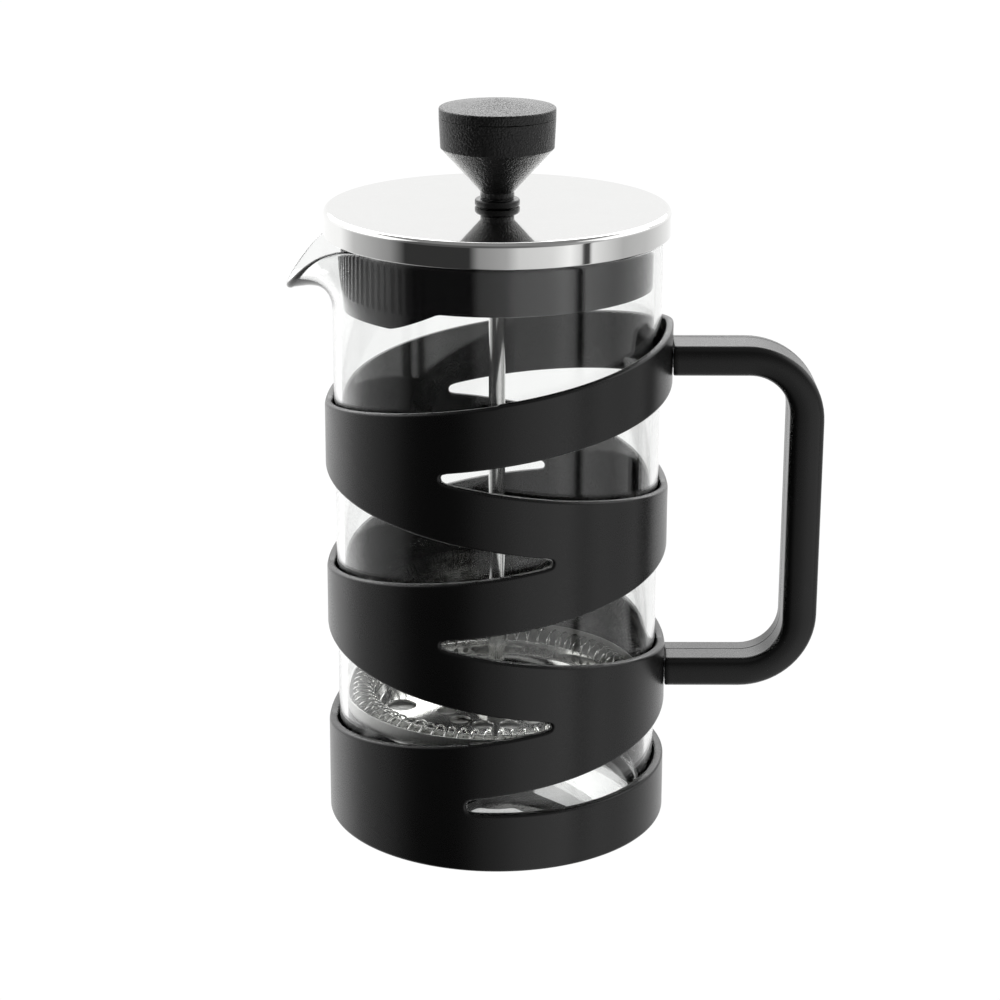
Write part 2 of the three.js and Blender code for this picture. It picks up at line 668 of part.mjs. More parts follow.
// Woven disc folded up round the coil, against the glass.
function filterMesh() {
  const top = PLATE_Z - GAP;
  const low = top - MESH_SHEET;
  const inside = MESH_R - MESH_SHEET;
  return turned([
    [ROD_BORE, low],
    [MESH_FLAT_R, low],
    [MESH_R, low + MESH_SLOPE],
    [MESH_R, MESH_RIM_Z],
    [inside, MESH_RIM_Z],
    [inside, low + MESH_SLOPE + MESH_SHEET / 2],
    [MESH_FLAT_R - MESH_SHEET / 2, top],
    [ROD_BORE, top],
    [ROD_BORE, low],
  ], FILTER_SEGMENTS);
}

const crossPlateTop = PLATE_Z - GAP - MESH_SHEET - GAP;
const crossPlateBottom = crossPlateTop - CROSS_PLATE_SHEET;

// A ring and a hub joined by spokes, which clamps the mesh from below.
function crossPlate() {
  const inner = CROSS_PLATE_R - CROSS_PLATE_RIM;
  const [low, high] = [crossPlateBottom, crossPlateTop];
  const rim = solid(ring(inner, CROSS_PLATE_R, low, high, FILTER_SEGMENTS));
  const hub = solid(ring(ROD_BORE, CROSS_PLATE_HUB_R, low, high, SMALL_SEGMENTS));
  return geometryOf(spoked(rim.add(hub), CROSS_PLATE_HUB_R, inner, CROSS_PLATE_SPOKE, low, high));
}

const upperNutZ = PLATE_Z + PLATE_SHEET + GAP;
const lowerNutZ = crossPlateBottom - GAP;

// ---- assembly -----------------------------------------------------------

const press = new THREE.Group();

function add(name, geometry, material) {
  const mesh = new THREE.Mesh(geometry, material);
  mesh.name = name;
  press.add(mesh);
}

add("sleeve_frame", sleeve(), BLACK_SATIN);
add("handle", handle(), BLACK_SATIN);
add("handle_screw_upper", handleScrew(screwZ.upper), ZINC);
add("handle_screw_lower", handleScrew(screwZ.lower), ZINC);
add("beaker", beaker(), CLEAR_GLASS);
add("lid_cover", lidCover(), POLISHED_STEEL);
add("lid_insert", lidInsert(), BLACK_GLOSS);
add("rod_guide_bush", rodGuideBush(), BLACK_SATIN);
add("guide_nut", guideNut(), BLACK_SATIN);
add("knob_body", knobBody(), BLACK_TEXTURED);
add("knob_cap", knobCap(), BLACK_TEXTURED);
add("knob_thread_insert", knobThreadInsert(), BRASS);
add("plunger_rod", plungerRod(), POLISHED_STEEL);
add("upper_nut", hexNut(NUT_R, ROD_BORE, upperNutZ, upperNutZ + NUT_HEIGHT), SATIN_STEEL);
add("spring_plate", springPlate(), POLISHED_STEEL);
add("spring_coil", springCoil(), SATIN_STEEL);
add("filter_mesh", filterMesh(), WOVEN_STEEL);
add("cross_plate", crossPlate(), POLISHED_STEEL);
add("lower_nut", hexNut(NUT_R, ROD_BORE, lowerNutZ - NUT_HEIGHT, lowerNutZ), SATIN_STEEL);

export default press;
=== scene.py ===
import json
import math

import bmesh
import bpy
from mathutils import Matrix, Vector
from mathutils.geometry import delaunay_2d_cdt


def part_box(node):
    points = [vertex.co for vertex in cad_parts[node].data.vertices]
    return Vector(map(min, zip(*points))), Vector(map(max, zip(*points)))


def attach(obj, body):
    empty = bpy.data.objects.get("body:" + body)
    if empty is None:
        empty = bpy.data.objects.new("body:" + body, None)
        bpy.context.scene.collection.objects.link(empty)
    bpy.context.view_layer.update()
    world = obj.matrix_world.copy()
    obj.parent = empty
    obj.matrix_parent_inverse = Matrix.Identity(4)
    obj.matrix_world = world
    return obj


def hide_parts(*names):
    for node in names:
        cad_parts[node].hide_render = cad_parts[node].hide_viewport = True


# The looks of a one-litre french press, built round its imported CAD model.
# Sizes are in millimetres and become metres when a mesh is made. The plunger rod runs up
# the z axis, the handle points along +X, the spout along -X and the camera stands on -Y.
# Angles round the press are in degrees: 0 at -Y, 90 at the handle, -90 at the spout.

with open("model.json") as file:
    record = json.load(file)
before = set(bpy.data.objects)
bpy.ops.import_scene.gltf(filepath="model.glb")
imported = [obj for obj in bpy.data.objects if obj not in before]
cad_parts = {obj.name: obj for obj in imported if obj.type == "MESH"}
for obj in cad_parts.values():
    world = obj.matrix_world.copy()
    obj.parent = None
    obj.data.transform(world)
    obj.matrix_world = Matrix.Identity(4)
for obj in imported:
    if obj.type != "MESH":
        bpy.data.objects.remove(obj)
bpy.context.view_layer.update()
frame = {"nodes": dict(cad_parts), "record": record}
record = frame["record"]
BODY_OF = {n: body for body, nodes in record["behaviour"]["bodies"].items() for n in nodes}
MM = 0.001
GAP = 0.3  # clearance between pieces that fit into each other
WELD = 0.002  # points closer than this become one
DISC_CELLS = 22  # grid cells from the middle of a flat disc to its rim
GRID_ROW = 0.87  # height of a row in a grid of even triangles


# ---- shape helpers ----

def node_box(node):
    low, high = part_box(node)
    return low / MM, high / MM


def lerp(a, b, t):
    return a + (b - a) * t


def smooth(x, low, high):
    t = min(max((x - low) / (high - low), 0), 1)
    return t * t * (3 - 2 * t)


def around(radius, degrees, z):
    turn = math.radians(degrees)
    return (radius * math.sin(turn), -radius * math.cos(turn), z)


def build(name, points, faces, material, sharp=38):
    """A mesh object from points in millimetres, welded, facing outwards and shaded smooth."""
    mesh = bpy.data.meshes.new(name)
    mesh.from_pydata([Vector(p) * MM for p in points], [], faces)
    work = bmesh.new()
    work.from_mesh(mesh)
    bmesh.ops.remove_doubles(work, verts=work.verts, dist=WELD * MM)
    bmesh.ops.delete(work, geom=[v for v in work.verts if not v.link_faces], context="VERTS")
    bmesh.ops.recalc_face_normals(work, faces=work.faces)
    work.to_mesh(mesh)
    work.free()
    mesh.polygons.foreach_set("use_smooth", [True] * len(mesh.polygons))
    mesh.set_sharp_from_angle(angle=math.radians(sharp))
    mesh.materials.append(material)
    piece = bpy.data.objects.new(name, mesh)
    bpy.context.scene.collection.objects.link(piece)
    return piece


def stand_for(piece, node):
    """The piece replaces that CAD node, and takes its body."""
    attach(piece, BODY_OF[node])
    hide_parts(node)


def rounded(corners, closed=True, step=15):
    """A profile from (x, y, fillet) corners, with each fillet as an arc."""
    count = len(corners)
    profile = []
    for i, (x, y, fillet) in enumerate(corners):
        here = Vector((x, y))
        if fillet == 0 or (not closed and i in (0, count - 1)):
            profile.append((x, y))
            continue
        back = (Vector(corners[i - 1][:2]) - here).normalized()
        on = (Vector(corners[(i + 1) % count][:2]) - here).normalized()
        half = back.angle(on) / 2
        centre = here + (back + on).normalized() * (fillet / math.sin(half))
        start = here + back * (fillet / math.tan(half)) - centre
        sweep = start.angle_signed(here + on * (fillet / math.tan(half)) - centre)
        steps = max(2, math.ceil(abs(math.degrees(sweep)) / step))
        first = math.atan2(start.y, start.x)
        for k in range(steps + 1):
            angle = first - sweep * k / steps
            profile.append((centre.x + fillet * math.cos(angle), centre.y + fillet * math.sin(angle)))
    return profile


def revolve(profile, segments):
    """Points and faces of a closed (radius, height) profile turned about the z axis."""
    count = len(profile)
    points = [around(r, 360 * k / segments, z) for k in range(segments) for r, z in profile]
    faces = []
    for k in range(segments):
        here, beside = k * count, (k + 1) % segments * count
        for i in range(count):
            j = (i + 1) % count
            if profile[i][0] > 1e-6 or profile[j][0] > 1e-6:
                faces.append((here + i, here + j, beside + j, beside + i))
    return points, faces


def supported(profile, near=0.2):
    """Adds points close to both ends of every long straight run, so that it shades flat."""
    result = []
    for here, after in zip(profile, profile[1:] + profile[:1]):
        result.append(here)
        length = math.dist(here, after)
        if length > 6 * near:
            for t in (near / length, 1 - near / length):
                result.append((lerp(here[0], after[0], t), lerp(here[1], after[1], t)))
    return result


def turned(name, corners, material, segments=192, step=15):
    points, faces = revolve(supported(rounded(corners, step=step)), segments)
    return build(name, points, faces, material)


def strip(points, faces, rows, cyclic=False):
    """Joins neighbouring rows of points with quads, and adds both to the lists."""
    first, width = len(points), len(rows[0])
    for row in rows:
        points.extend(row)
    for r in range(len(rows) - 1):
        for c in range(width if cyclic else width - 1):
            a, b = first + r * width + c, first + r * width + (c + 1) % width
            faces.append((a, b, b + width, a + width))


def looped(name, rows, material, sharp=38):
    """A mesh object from rows of points that each close on themselves."""
    points, faces = [], []
    strip(points, faces, rows, cyclic=True)
    return build(name, points, faces, material, sharp)


def add_on(points, faces, more_points, more_faces):
    """Adds one mesh's points and faces to the lists of another."""
    first = len(points)
    points += more_points
    faces += [tuple(first + i for i in face) for face in more_faces]


def disc_with_holes(outline, holes, low, high, edge=0.15):
    """Points and faces of a flat plate with softened edges round its outline and holes."""
    points, faces = [], []

    def shifted(loop, amount):
        row = []
        for i, (x, y) in enumerate(loop):
            before, after = Vector(loop[i - 1]), Vector(loop[(i + 1) % len(loop)])
            along = (after - before).normalized()
            row.append((x - along.y * amount, y + along.x * amount))
        return row

    loops = [outline] + holes
    flats = [shifted(loop, edge) for loop in loops]
    flat_points = [p for loop in flats for p in loop]
    starts = [0]
    for loop in flats:
        starts.append(starts[-1] + len(loop))
    edges = [(a + i, a + (i + 1) % len(loop)) for a, loop in zip(starts, flats) for i in range(len(loop))]
    reach = max(abs(x) for x, y in outline)
    spacing = reach / DISC_CELLS
    for i in range(-DISC_CELLS, DISC_CELLS + 1):
        for j in range(-DISC_CELLS, DISC_CELLS + 1):
            place = Vector(((i + 0.5 * (j % 2)) * spacing, j * spacing * GRID_ROW))
            clear = all((place - Vector(p)).length > spacing * 0.6 for p in flat_points[:starts[-1]])
            if clear and place.length < reach:
                flat_points.append((place.x, place.y))
    result = delaunay_2d_cdt([Vector(p) for p in flat_points], edges, [], 0, 1e-7)
    flat_result = [tuple(p) for p in result[0]]

    def inside(loop, x, y):
        hit = False
        for (ax, ay), (bx, by) in zip(loop, loop[1:] + loop[:1]):
            if (ay > y) != (by > y) and x < ax + (y - ay) * (bx - ax) / (by - ay):
                hit = not hit
        return hit

    kept = []
    for triangle in result[2]:
        x = sum(flat_result[i][0] for i in triangle) / 3
        y = sum(flat_result[i][1] for i in triangle) / 3
        if inside(flats[0], x, y) and not any(inside(loop, x, y) for loop in flats[1:]):
            kept.append(tuple(triangle))
    for z in (low, high):
        add_on(points, faces, [(x, y, z) for x, y in flat_result], kept)
    for loop, flat in zip(loops, flats):
        over_edge = ((flat, low), (loop, low + edge), (loop, high - edge), (flat, high))
        strip(points, faces, [[(x, y, z) for x, y in line] for line, z in over_edge], cyclic=True)
    return points, faces


def circle(r, x=0, y=0, count=48, clockwise=False):
    turn = -1 if clockwise else 1
    return [(x + r * math.cos(2 * math.pi * k / count), y + turn * r * math.sin(2 * math.pi * k / count))
            for k in range(count)]


def sector_windows(hub_r, ring_r, spoke, fillet):
    """Outlines of the four windows between a hub, a ring and the spokes that join them."""
    windows = []
    for k in range(4):
        corners = []
        for radius, order, steps in ((ring_r, 1, 24), (hub_r, -1, 8)):
            spread = math.radians(45) - math.asin(spoke / 2 / radius)
            for s in range(steps + 1):
                angle = math.radians(90 * k) + order * lerp(-spread, spread, s / steps)
                corners.append((radius * math.cos(angle), radius * math.sin(angle),
                                fillet if s in (0, steps) else 0))
        windows.append(list(reversed(rounded(corners))))
    return windows


# ---- finishes ----

def add_node(tree, kind, inputs=None, **settings):
    """Adds a shader node. An input is a value, or another node's output to link."""
    node = tree.nodes.new("ShaderNode" + kind)
    for key, value in settings.items():
        setattr(node, key, value)
    for key, value in (inputs or {}).items():
        if isinstance(value, bpy.types.NodeSocket):
            tree.links.new(value, node.inputs[key])
        else:
            node.inputs[key].default_value = value
    return node


def maths(tree, operation, a, b=0.0):
    return add_node(tree, "Math", {0: a, 1: b}, operation=operation).outputs[0]


def mix(tree, factor, a, b, kind="RGBA"):
    return add_node(tree, "Mix", {0: factor, "A": a, "B": b}, data_type=kind).outputs["Result"]


def scaled(tree, value, low, high, to_low=0.0, to_high=1.0):
    """The value's place between low and high, moved to between to_low and to_high."""
    return add_node(tree, "MapRange", {"Value": value, "From Min": low, "From Max": high,
                                       "To Min": to_low, "To Max": to_high}).outputs["Result"]


def add_relief(tree, shader, height, relief, strength=1.0):
    bump = add_node(tree, "Bump", {"Height": height, "Distance": relief * MM, "Strength": strength})
    tree.links.new(bump.outputs["Normal"], shader.inputs["Normal"])


def new_material(name, sockets):
    material = bpy.data.materials.new(name)
    material.use_nodes = True
    tree = material.node_tree
    shader = tree.nodes["Principled BSDF"]
    for key, value in sockets.items():
        shader.inputs[key].default_value = value
    place = add_node(tree, "TexCoord").outputs["Object"]
    return material, tree, shader, place


def finish(name, colour, roughness, grain, relief, stretch=(1, 1, 1), drift=0.15, detail=3, **sockets):
    """A moulded or machined surface: a grain of that size and relief, in millimetres, and a
    slow drift of colour and roughness over some centimetres."""
    material, tree, shader, place = new_material(name, sockets)
    slow = add_node(tree, "TexNoise", {"Vector": place, "Scale": 60, "Detail": 2}).outputs["Fac"]
    grit_place = add_node(tree, "Mapping", {"Vector": place, "Scale": stretch}).outputs[0]
    grit = add_node(tree, "TexNoise", {"Vector": grit_place, "Scale": 1 / (grain * MM), "Detail": detail,
                                       "Roughness": 0.6}).outputs["Fac"]
    mixed = maths(tree, "ADD", maths(tree, "MULTIPLY", slow, 0.5), maths(tree, "MULTIPLY", grit, 0.5))
    low = [c * (1 - drift) for c in colour] + [1]
    high = [c * (1 + drift) for c in colour] + [1]
    tree.links.new(mix(tree, mixed, low, high), shader.inputs["Base Color"])
    rough = scaled(tree, mixed, 0.25, 0.75, roughness * (1 - drift), roughness * (1 + drift))
    tree.links.new(rough, shader.inputs["Roughness"])
    add_relief(tree, shader, grit, relief)
    return material


def woven_finish(name, pitch, turn_r):
    """Woven wire: warp and weft pass over and under each other, flat inside turn_r and
    standing up the wall outside it."""
    material, tree, shader, place = new_material(name, {"Metallic": 1.0, "Roughness": 0.32})
    axes = add_node(tree, "SeparateXYZ", {0: place}).outputs
    from_axis = add_node(tree, "CombineXYZ", {0: axes[0], 1: axes[1]}).outputs[0]
    radius = add_node(tree, "VectorMath", {0: from_axis}, operation="LENGTH").outputs["Value"]
    on_wall = maths(tree, "GREATER_THAN", radius, turn_r * MM)
    arc = maths(tree, "MULTIPLY", maths(tree, "ARCTAN2", axes[1], axes[0]), turn_r * MM)

    def thread(flat, wall):
        along = mix(tree, on_wall, flat, wall, "FLOAT")
        return maths(tree, "MULTIPLY", along, math.pi / (pitch * MM))

    u, v = thread(axes[0], arc), thread(axes[1], axes[2])
    warp = maths(tree, "ABSOLUTE", maths(tree, "SINE", u))
    weft = maths(tree, "ABSOLUTE", maths(tree, "SINE", v))
    over = maths(tree, "MULTIPLY", maths(tree, "COSINE", u), maths(tree, "COSINE", v))
    height = maths(tree, "MAXIMUM", maths(tree, "ADD", warp, maths(tree, "MULTIPLY", over, 0.4)),
                   maths(tree, "SUBTRACT", weft, maths(tree, "MULTIPLY", over, 0.4)))
    # painted shade: the low parts between the wires are coloured dark, the crests pale steel
    ramp = add_node(tree, "ValToRGB", {0: height})
    ramp.color_ramp.elements[0].position = 0.45
    ramp.color_ramp.elements[0].color = (0.12, 0.12, 0.12, 1)
    ramp.color_ramp.elements[1].position = 1.0
    ramp.color_ramp.elements[1].color = (0.85, 0.85, 0.83, 1)
    tree.links.new(ramp.outputs[0], shader.inputs["Base Color"])
    add_relief(tree, shader, height, 0.08, 0.8)
    return material


def glass_finish(name):
    """Clear blown glass with a faint waviness."""
    material, tree, shader, place = new_material(
        name, {"Transmission Weight": 1.0, "IOR": 1.47, "Roughness": 0.0})
    wave = add_node(tree, "TexNoise", {"Vector": place, "Scale": 25, "Detail": 0}).outputs["Fac"]
    tint = mix(tree, wave, (0.985, 0.99, 0.985, 1), (0.995, 1, 0.995, 1))
    tree.links.new(tint, shader.inputs["Base Color"])
    add_relief(tree, shader, wave, 0.15, 0.5)
    return material


SATIN_BLACK = finish("satin_black", (0.0025, 0.0025, 0.0025), 0.28, 0.25, 0.02)
KNOB_BLACK = finish("knob_black", (0.005, 0.005, 0.005), 0.3, 0.58, 0.3, detail=1)
GLOSS_BLACK = finish("gloss_black", (0.008, 0.008, 0.009), 0.07, 8, 0.01, detail=0)
MIRROR_STEEL = finish("mirror_steel", (0.82, 0.82, 0.81), 0.045, 3, 0.0006, drift=0.03, Metallic=1.0)
ROD_STEEL = finish("rod_steel", (0.74, 0.74, 0.73), 0.12, 1.2, 0.001, stretch=(1, 1, 0.04), drift=0.05,
                   Metallic=1.0)
PLATE_STEEL = finish("plate_steel", (0.85, 0.85, 0.83), 0.12, 0.8, 0.002, drift=0.06, Metallic=1.0)
WIRE_STEEL = finish("wire_steel", (0.93, 0.93, 0.91), 0.13, 0.3, 0.001, drift=0.08, Metallic=1.0)
NUT_STEEL = finish("nut_steel", (0.6, 0.6, 0.58), 0.28, 0.4, 0.006, drift=0.1, Metallic=1.0)
BRASS = finish("brass", (0.6, 0.45, 0.2), 0.3, 0.4, 0.006, Metallic=1.0)
ZINC = finish("zinc_plate", (0.55, 0.57, 0.6), 0.35, 0.6, 0.004, Metallic=1.0)
CLEAR_GLASS = glass_finish("clear_glass")


# ---- sleeve ----

MID_R = 50.9  # radius at which the sleeve is unrolled
TOP_R = 50.6
FOOT_R = node_box("sleeve_frame")[1].y
BORE = 48.4
FLOOR_Z = 3
HUB_R = 12
WINDOW_R = 41
FLOOR_SPOKE = 8
RISE = 0.137 / math.radians(1) / MID_R  # slope of the slanted edges on the unrolled sleeve
QUARTER = math.radians(90) * MID_R
SLOT_GAP = 7.3
SLOT_TIP_R = 1.3
BASE_TIP_R = 2.2
SLOT_LEVELS = 5
SLOT_PITCH = 24.85
TOP_SLOT_Z = 119.4
TOP_EDGE_Z = 141.3
BAND_Z = 18.2
SHEET_Z = 8  # the wall starts here, above the foot
PEAK_SOFTNESS = 2.2
EDGE_FILLET = 0.8
SHEET_INSET = 1.0  # the wall's flat sheet starts this far from its edges
SHEET_GRID = 1.7  # spacing of the sheet's inner points
SHEET_TOP_Z = 160  # above the highest part of the top edge
COLUMNS = 168  # points along half the sleeve's edges, from the handle round to the spout
TIP_STEPS = 12
EDGE_STEPS = 5
TAPER_TOP_Z = 150
STAND_OFF = 0.9  # the wall swells out round the handle's upper root
STAND_OFF_Z = (95, 140)
STAND_OFF_SPREAD = 38
SPIDER_OVERLAP = 0.6  # the hub's disc reaches this far into the ring round it
SPIDER_SINK = 0.02
SLANT = math.cos(math.atan(RISE))


def soft(x):
    """Distance along the wall from a slot's middle, rounded off at the middle itself."""
    return math.hypot(x, PEAK_SOFTNESS) - PEAK_SOFTNESS * 0.5


def slot_half(x):
    return SLOT_GAP / 2 + RISE * (QUARTER - soft(x))


def slot_middle(level):
    return TOP_SLOT_Z - level * SLOT_PITCH


def slot_tip(level):
    """Centre and radius of a slot's rounded tip: (along, z, radius). The lowest slot's tip is
    wider and sits on the slot's flat lower edge."""
    lowest = level == SLOT_LEVELS - 1
    radius = BASE_TIP_R if lowest else SLOT_TIP_R
    z = BAND_Z + radius if lowest else slot_middle(level)
    rise = z - slot_middle(level)
    return QUARTER + (SLOT_GAP / 2 - rise - radius / SLANT) / RISE, z, radius


def slot_outline(level):
    """(along, z, normal) of one slot's half outline, from its upper middle round the tip."""
    mid = slot_middle(level)
    tip_x, tip_z, radius = slot_tip(level)
    sweep = math.acos(math.sin(math.atan(RISE)))
    straight = tip_x + radius * math.cos(sweep)
    steps = COLUMNS // 2
    reach = [straight * k / steps for k in range(steps)]
    upper = [(x, mid + slot_half(x)) for x in reach]
    if level == SLOT_LEVELS - 1:
        last = math.pi / 2
        lower = [(x * tip_x / straight, BAND_Z) for x in reversed(reach)]
    else:
        last = sweep
        lower = [(x, mid - slot_half(x)) for x in reversed(reach)]
    tip = [(tip_x + radius * math.cos(a), tip_z + radius * math.sin(a))
           for a in (lerp(sweep, -last, k / TIP_STEPS) for k in range(TIP_STEPS + 1))]
    line = upper + tip + lower
    outline = []
    for i, (x, z) in enumerate(line):
        before = line[i - 1] if i else (-line[1][0], line[1][1])
        after = line[i + 1] if i + 1 < len(line) else (-line[i - 1][0], line[i - 1][1])
        along = Vector((after[0] - before[0], after[1] - before[1])).normalized()
        outline.append((x, z, Vector((-along.y, along.x))))
    return outline


def top_outline():
    """The sleeve's top edge, from the handle round to the spout; the material is below it."""
    outline = []
    for k in range(COLUMNS + 1):
        x = QUARTER * (1 - 2 * k / COLUMNS)
        lift = RISE * (QUARTER - soft(QUARTER - x)) if x > 0 else -RISE * (QUARTER - soft(QUARTER + x))
        slope = RISE * min((QUARTER - abs(x)) / PEAK_SOFTNESS, 1)
        outline.append((x, TOP_EDGE_Z + lift, Vector((slope, -1)).normalized()))
    return outline


def sleeve_radius(degrees, z, inside):
    off_handle = (90 - degrees) / STAND_OFF_SPREAD
    stand_off = STAND_OFF * smooth(z, *STAND_OFF_Z) * math.exp(-(off_handle ** 2))
    if inside:
        return BORE + stand_off
    return lerp(FOOT_R, TOP_R, min(z / TAPER_TOP_Z, 1)) + stand_off


def on_sleeve(x, z, depth, inside):
    degrees = math.degrees(x / MID_R)
    radius = sleeve_radius(degrees, z, inside)
    return around(radius + depth if inside else radius - depth, degrees, z)


def edge_rows(outline):
    """Rows of points over a wall edge, from the outer face round to the inner face."""
    quarter = [(SHEET_INSET, 0)]
    quarter += [(EDGE_FILLET * (1 - math.cos(t)), EDGE_FILLET * (1 - math.sin(t)))
                for t in (math.radians(90 - 90 * k / EDGE_STEPS) for k in range(EDGE_STEPS + 1))]
    rows = [[on_sleeve(x + n.x * out, z + n.y * out, deep, False) for x, z, n in outline]
            for out, deep in quarter]
    rows += [[on_sleeve(x + n.x * out, z + n.y * out, deep, True) for x, z, n in outline]
             for out, deep in reversed(quarter)]
    return rows


def wall_clearance(x, z):
    """How far a place on the unrolled wall is from the nearest edge of the material."""
    edge = TOP_EDGE_Z + RISE * x - z
    nearest = min(edge * SLANT, z - SHEET_Z, QUARTER - abs(x))
    for level in range(SLOT_LEVELS):
        from_middle = QUARTER - x if level % 2 == 0 else QUARTER + x
        tip_x, tip_z, radius = slot_tip(level)
        if from_middle < tip_x:
            gap = (abs(z - slot_middle(level)) - slot_half(from_middle)) * SLANT
        else:
            gap = math.hypot(from_middle - tip_x, z - tip_z) - radius
        if z < BAND_Z:
            gap = max(gap, BAND_Z - z)
        nearest = min(nearest, gap)
    return nearest


def wall_sheet(slots, top):
    """Triangles over the unrolled wall, between its edges: (x, z) points and faces."""
    *insets, rim = [[(x + n.x * SHEET_INSET, z + n.y * SHEET_INSET) for x, z, n in line]
                    for line in slots + [top]]

    def side(x, low, high):
        count = max(1, round((high - low) / SHEET_GRID))
        return [(x, lerp(low, high, k / count)) for k in range(1, count)]

    loop = [(lerp(-QUARTER, QUARTER, k / COLUMNS), SHEET_Z) for k in range(COLUMNS + 1)]
    at_handle, at_spout = insets[::2], insets[1::2]
    for line in reversed(at_handle):
        loop += side(QUARTER, loop[-1][1], line[-1][1]) + list(reversed(line))
    loop += side(QUARTER, loop[-1][1], rim[0][1]) + rim
    for line in at_spout:
        loop += list(reversed(side(-QUARTER, line[0][1], loop[-1][1]))) + line
    loop += list(reversed(side(-QUARTER, SHEET_Z, loop[-1][1])))
    inner = []
    rows = int((SHEET_TOP_Z - SHEET_Z) / SHEET_GRID)
    for row in range(1, rows):
        z = SHEET_Z + row * SHEET_GRID
        for k in range(COLUMNS + 1):
            x = lerp(-QUARTER, QUARTER, (k + 0.5 * (row % 2)) / COLUMNS)
            if wall_clearance(x, z) > SHEET_INSET + 0.5 * SHEET_GRID:
                inner.append((x, z))
    flat = [Vector(p) for p in loop + inner]
    result = delaunay_2d_cdt(flat, [], [list(range(len(loop)))], 1, 1e-7)
    return [tuple(p) for p in result[0]], result[2]


def slot_line(level):
    """A slot's half outline on the unrolled wall: the even ones have their middle at the
    handle and the odd ones at the spout."""
    side = 1 if level % 2 == 0 else -1
    return [(side * (QUARTER - x), z, Vector((-side * n.x, n.y))) for x, z, n in slot_outline(level)]


def sleeve():
    slots = [slot_line(level) for level in range(SLOT_LEVELS)]
    top = top_outline()
    points, faces = [], []
    sheet, triangles = wall_sheet(slots, top)
    for inside in (False, True):
        add_on(points, faces, [on_sleeve(x, z, 0, inside) for x, z in sheet], triangles)
    for outline in slots + [top]:
        strip(points, faces, edge_rows(outline))
    foot = supported(rounded([
        (sleeve_radius(0, SHEET_Z, False), SHEET_Z, 0), (FOOT_R - 0.02, 0, 1.0), (WINDOW_R, 0, 0.6),
        (WINDOW_R, FLOOR_Z, 0.6), (BORE, FLOOR_Z, 1.2), (BORE, SHEET_Z, 0)], closed=False))[:-2]
    strip(points, faces, [[around(r, lerp(-90, 90, k / COLUMNS), z) for k in range(COLUMNS + 1)]
                          for r, z in foot])
    add_on(points, faces, [(x, -y, z) for x, y, z in points], faces)
    windows = sector_windows(HUB_R, WINDOW_R, FLOOR_SPOKE, 2)
    rim = circle(WINDOW_R + SPIDER_OVERLAP, count=192)
    add_on(points, faces, *disc_with_holes(rim, windows, SPIDER_SINK, FLOOR_Z - SPIDER_SINK))
    return build("sleeve", points, faces, SATIN_BLACK)


stand_for(sleeve(), "sleeve_frame")


# ---- handle ----

HANDLE_LOW, HANDLE_HIGH = node_box("handle")
BAR = 9
GRIP = 10.2
OUTER_CORNER = 23
INNER_CORNER = 12
ROOT_STEPS = 12
CORNER_STEPS = 18
HANDLE_EDGE = 1.6
CROWN = 0.9
SEAM_OUTER_Y = 4.7
SEAM_INNER_Y = 1.0
SEAM_GROOVE = 0.22


def bar_section():
    """Section of the handle as (across, width) points; across runs from the inner face out."""
    half = HANDLE_HIGH.y
    side = [(0, -half, HANDLE_EDGE)] + [(BAR * k / 8, -half, 0) for k in range(2, 7)]
    side.append((BAR, -half, HANDLE_EDGE))
    other_side = [(across, -width, fillet) for across, width, fillet in reversed(side)]
    groove = ((0, -SEAM_GROOVE), (SEAM_GROOVE, 0), (0, SEAM_GROOVE))
    outer_seam = [(BAR - deep, SEAM_OUTER_Y + y, 0) for deep, y in groove]
    inner_seam = [(deep, SEAM_INNER_Y - y, 0) for deep, y in groove]
    corners = side + outer_seam + other_side + inner_seam
    section = []
    for across, width in supported(rounded(corners)):
        off_middle = 2 * across / BAR - 1
        section.append((across, width * (1 - CROWN / half * off_middle ** 2)))
    return section


def handle_path():
    """Pairs of inner and outer (x, z) points, from the upper root round the upper corner."""
    out_x, top = HANDLE_HIGH.x, HANDLE_HIGH.z
    start_x = out_x - OUTER_CORNER
    pairs = []
    for k in range(ROOT_STEPS + 1):
        x = lerp(0, start_x, k / ROOT_STEPS)
        pairs.append(((x, top - BAR), (x, top)))
    inner_x = out_x - GRIP - INNER_CORNER
    inner_z = top - BAR - INNER_CORNER
    outer_z = top - OUTER_CORNER
    for k in range(CORNER_STEPS + 1):
        turn = math.radians(90 - 90 * k / CORNER_STEPS)
        c, s = math.cos(turn), math.sin(turn)
        pairs.append(((inner_x + INNER_CORNER * c, inner_z + INNER_CORNER * s),
                      (start_x + OUTER_CORNER * c, outer_z + OUTER_CORNER * s)))
    return pairs


def root_x(y, z):
    """Where the handle's end stands, just off the sleeve's face."""
    return math.sqrt((sleeve_radius(90, z, False) + GAP) ** 2 - y ** 2)


def root_ring(row, inset, outward):
    """A row drawn in towards its middle and laid on the sleeve's face, for a rounded end."""
    middle_y = sum(y for _, y, _ in row) / len(row)
    middle_z = sum(z for _, _, z in row) / len(row)
    ring = []
    for _, y, z in row:
        out = Vector((y - middle_y, z - middle_z))
        out.length = max(out.length - inset, 0.01)
        y, z = middle_y + out.x, middle_z + out.y
        ring.append((root_x(y, z) + outward, y, z))
    return ring


def root_rings(row):
    return [root_ring(row, inset, outward)
            for inset, outward in ((4.4, 0), (2.4, 0), (0.5, 0), (0.15, 0.15), (0, 0.5))]


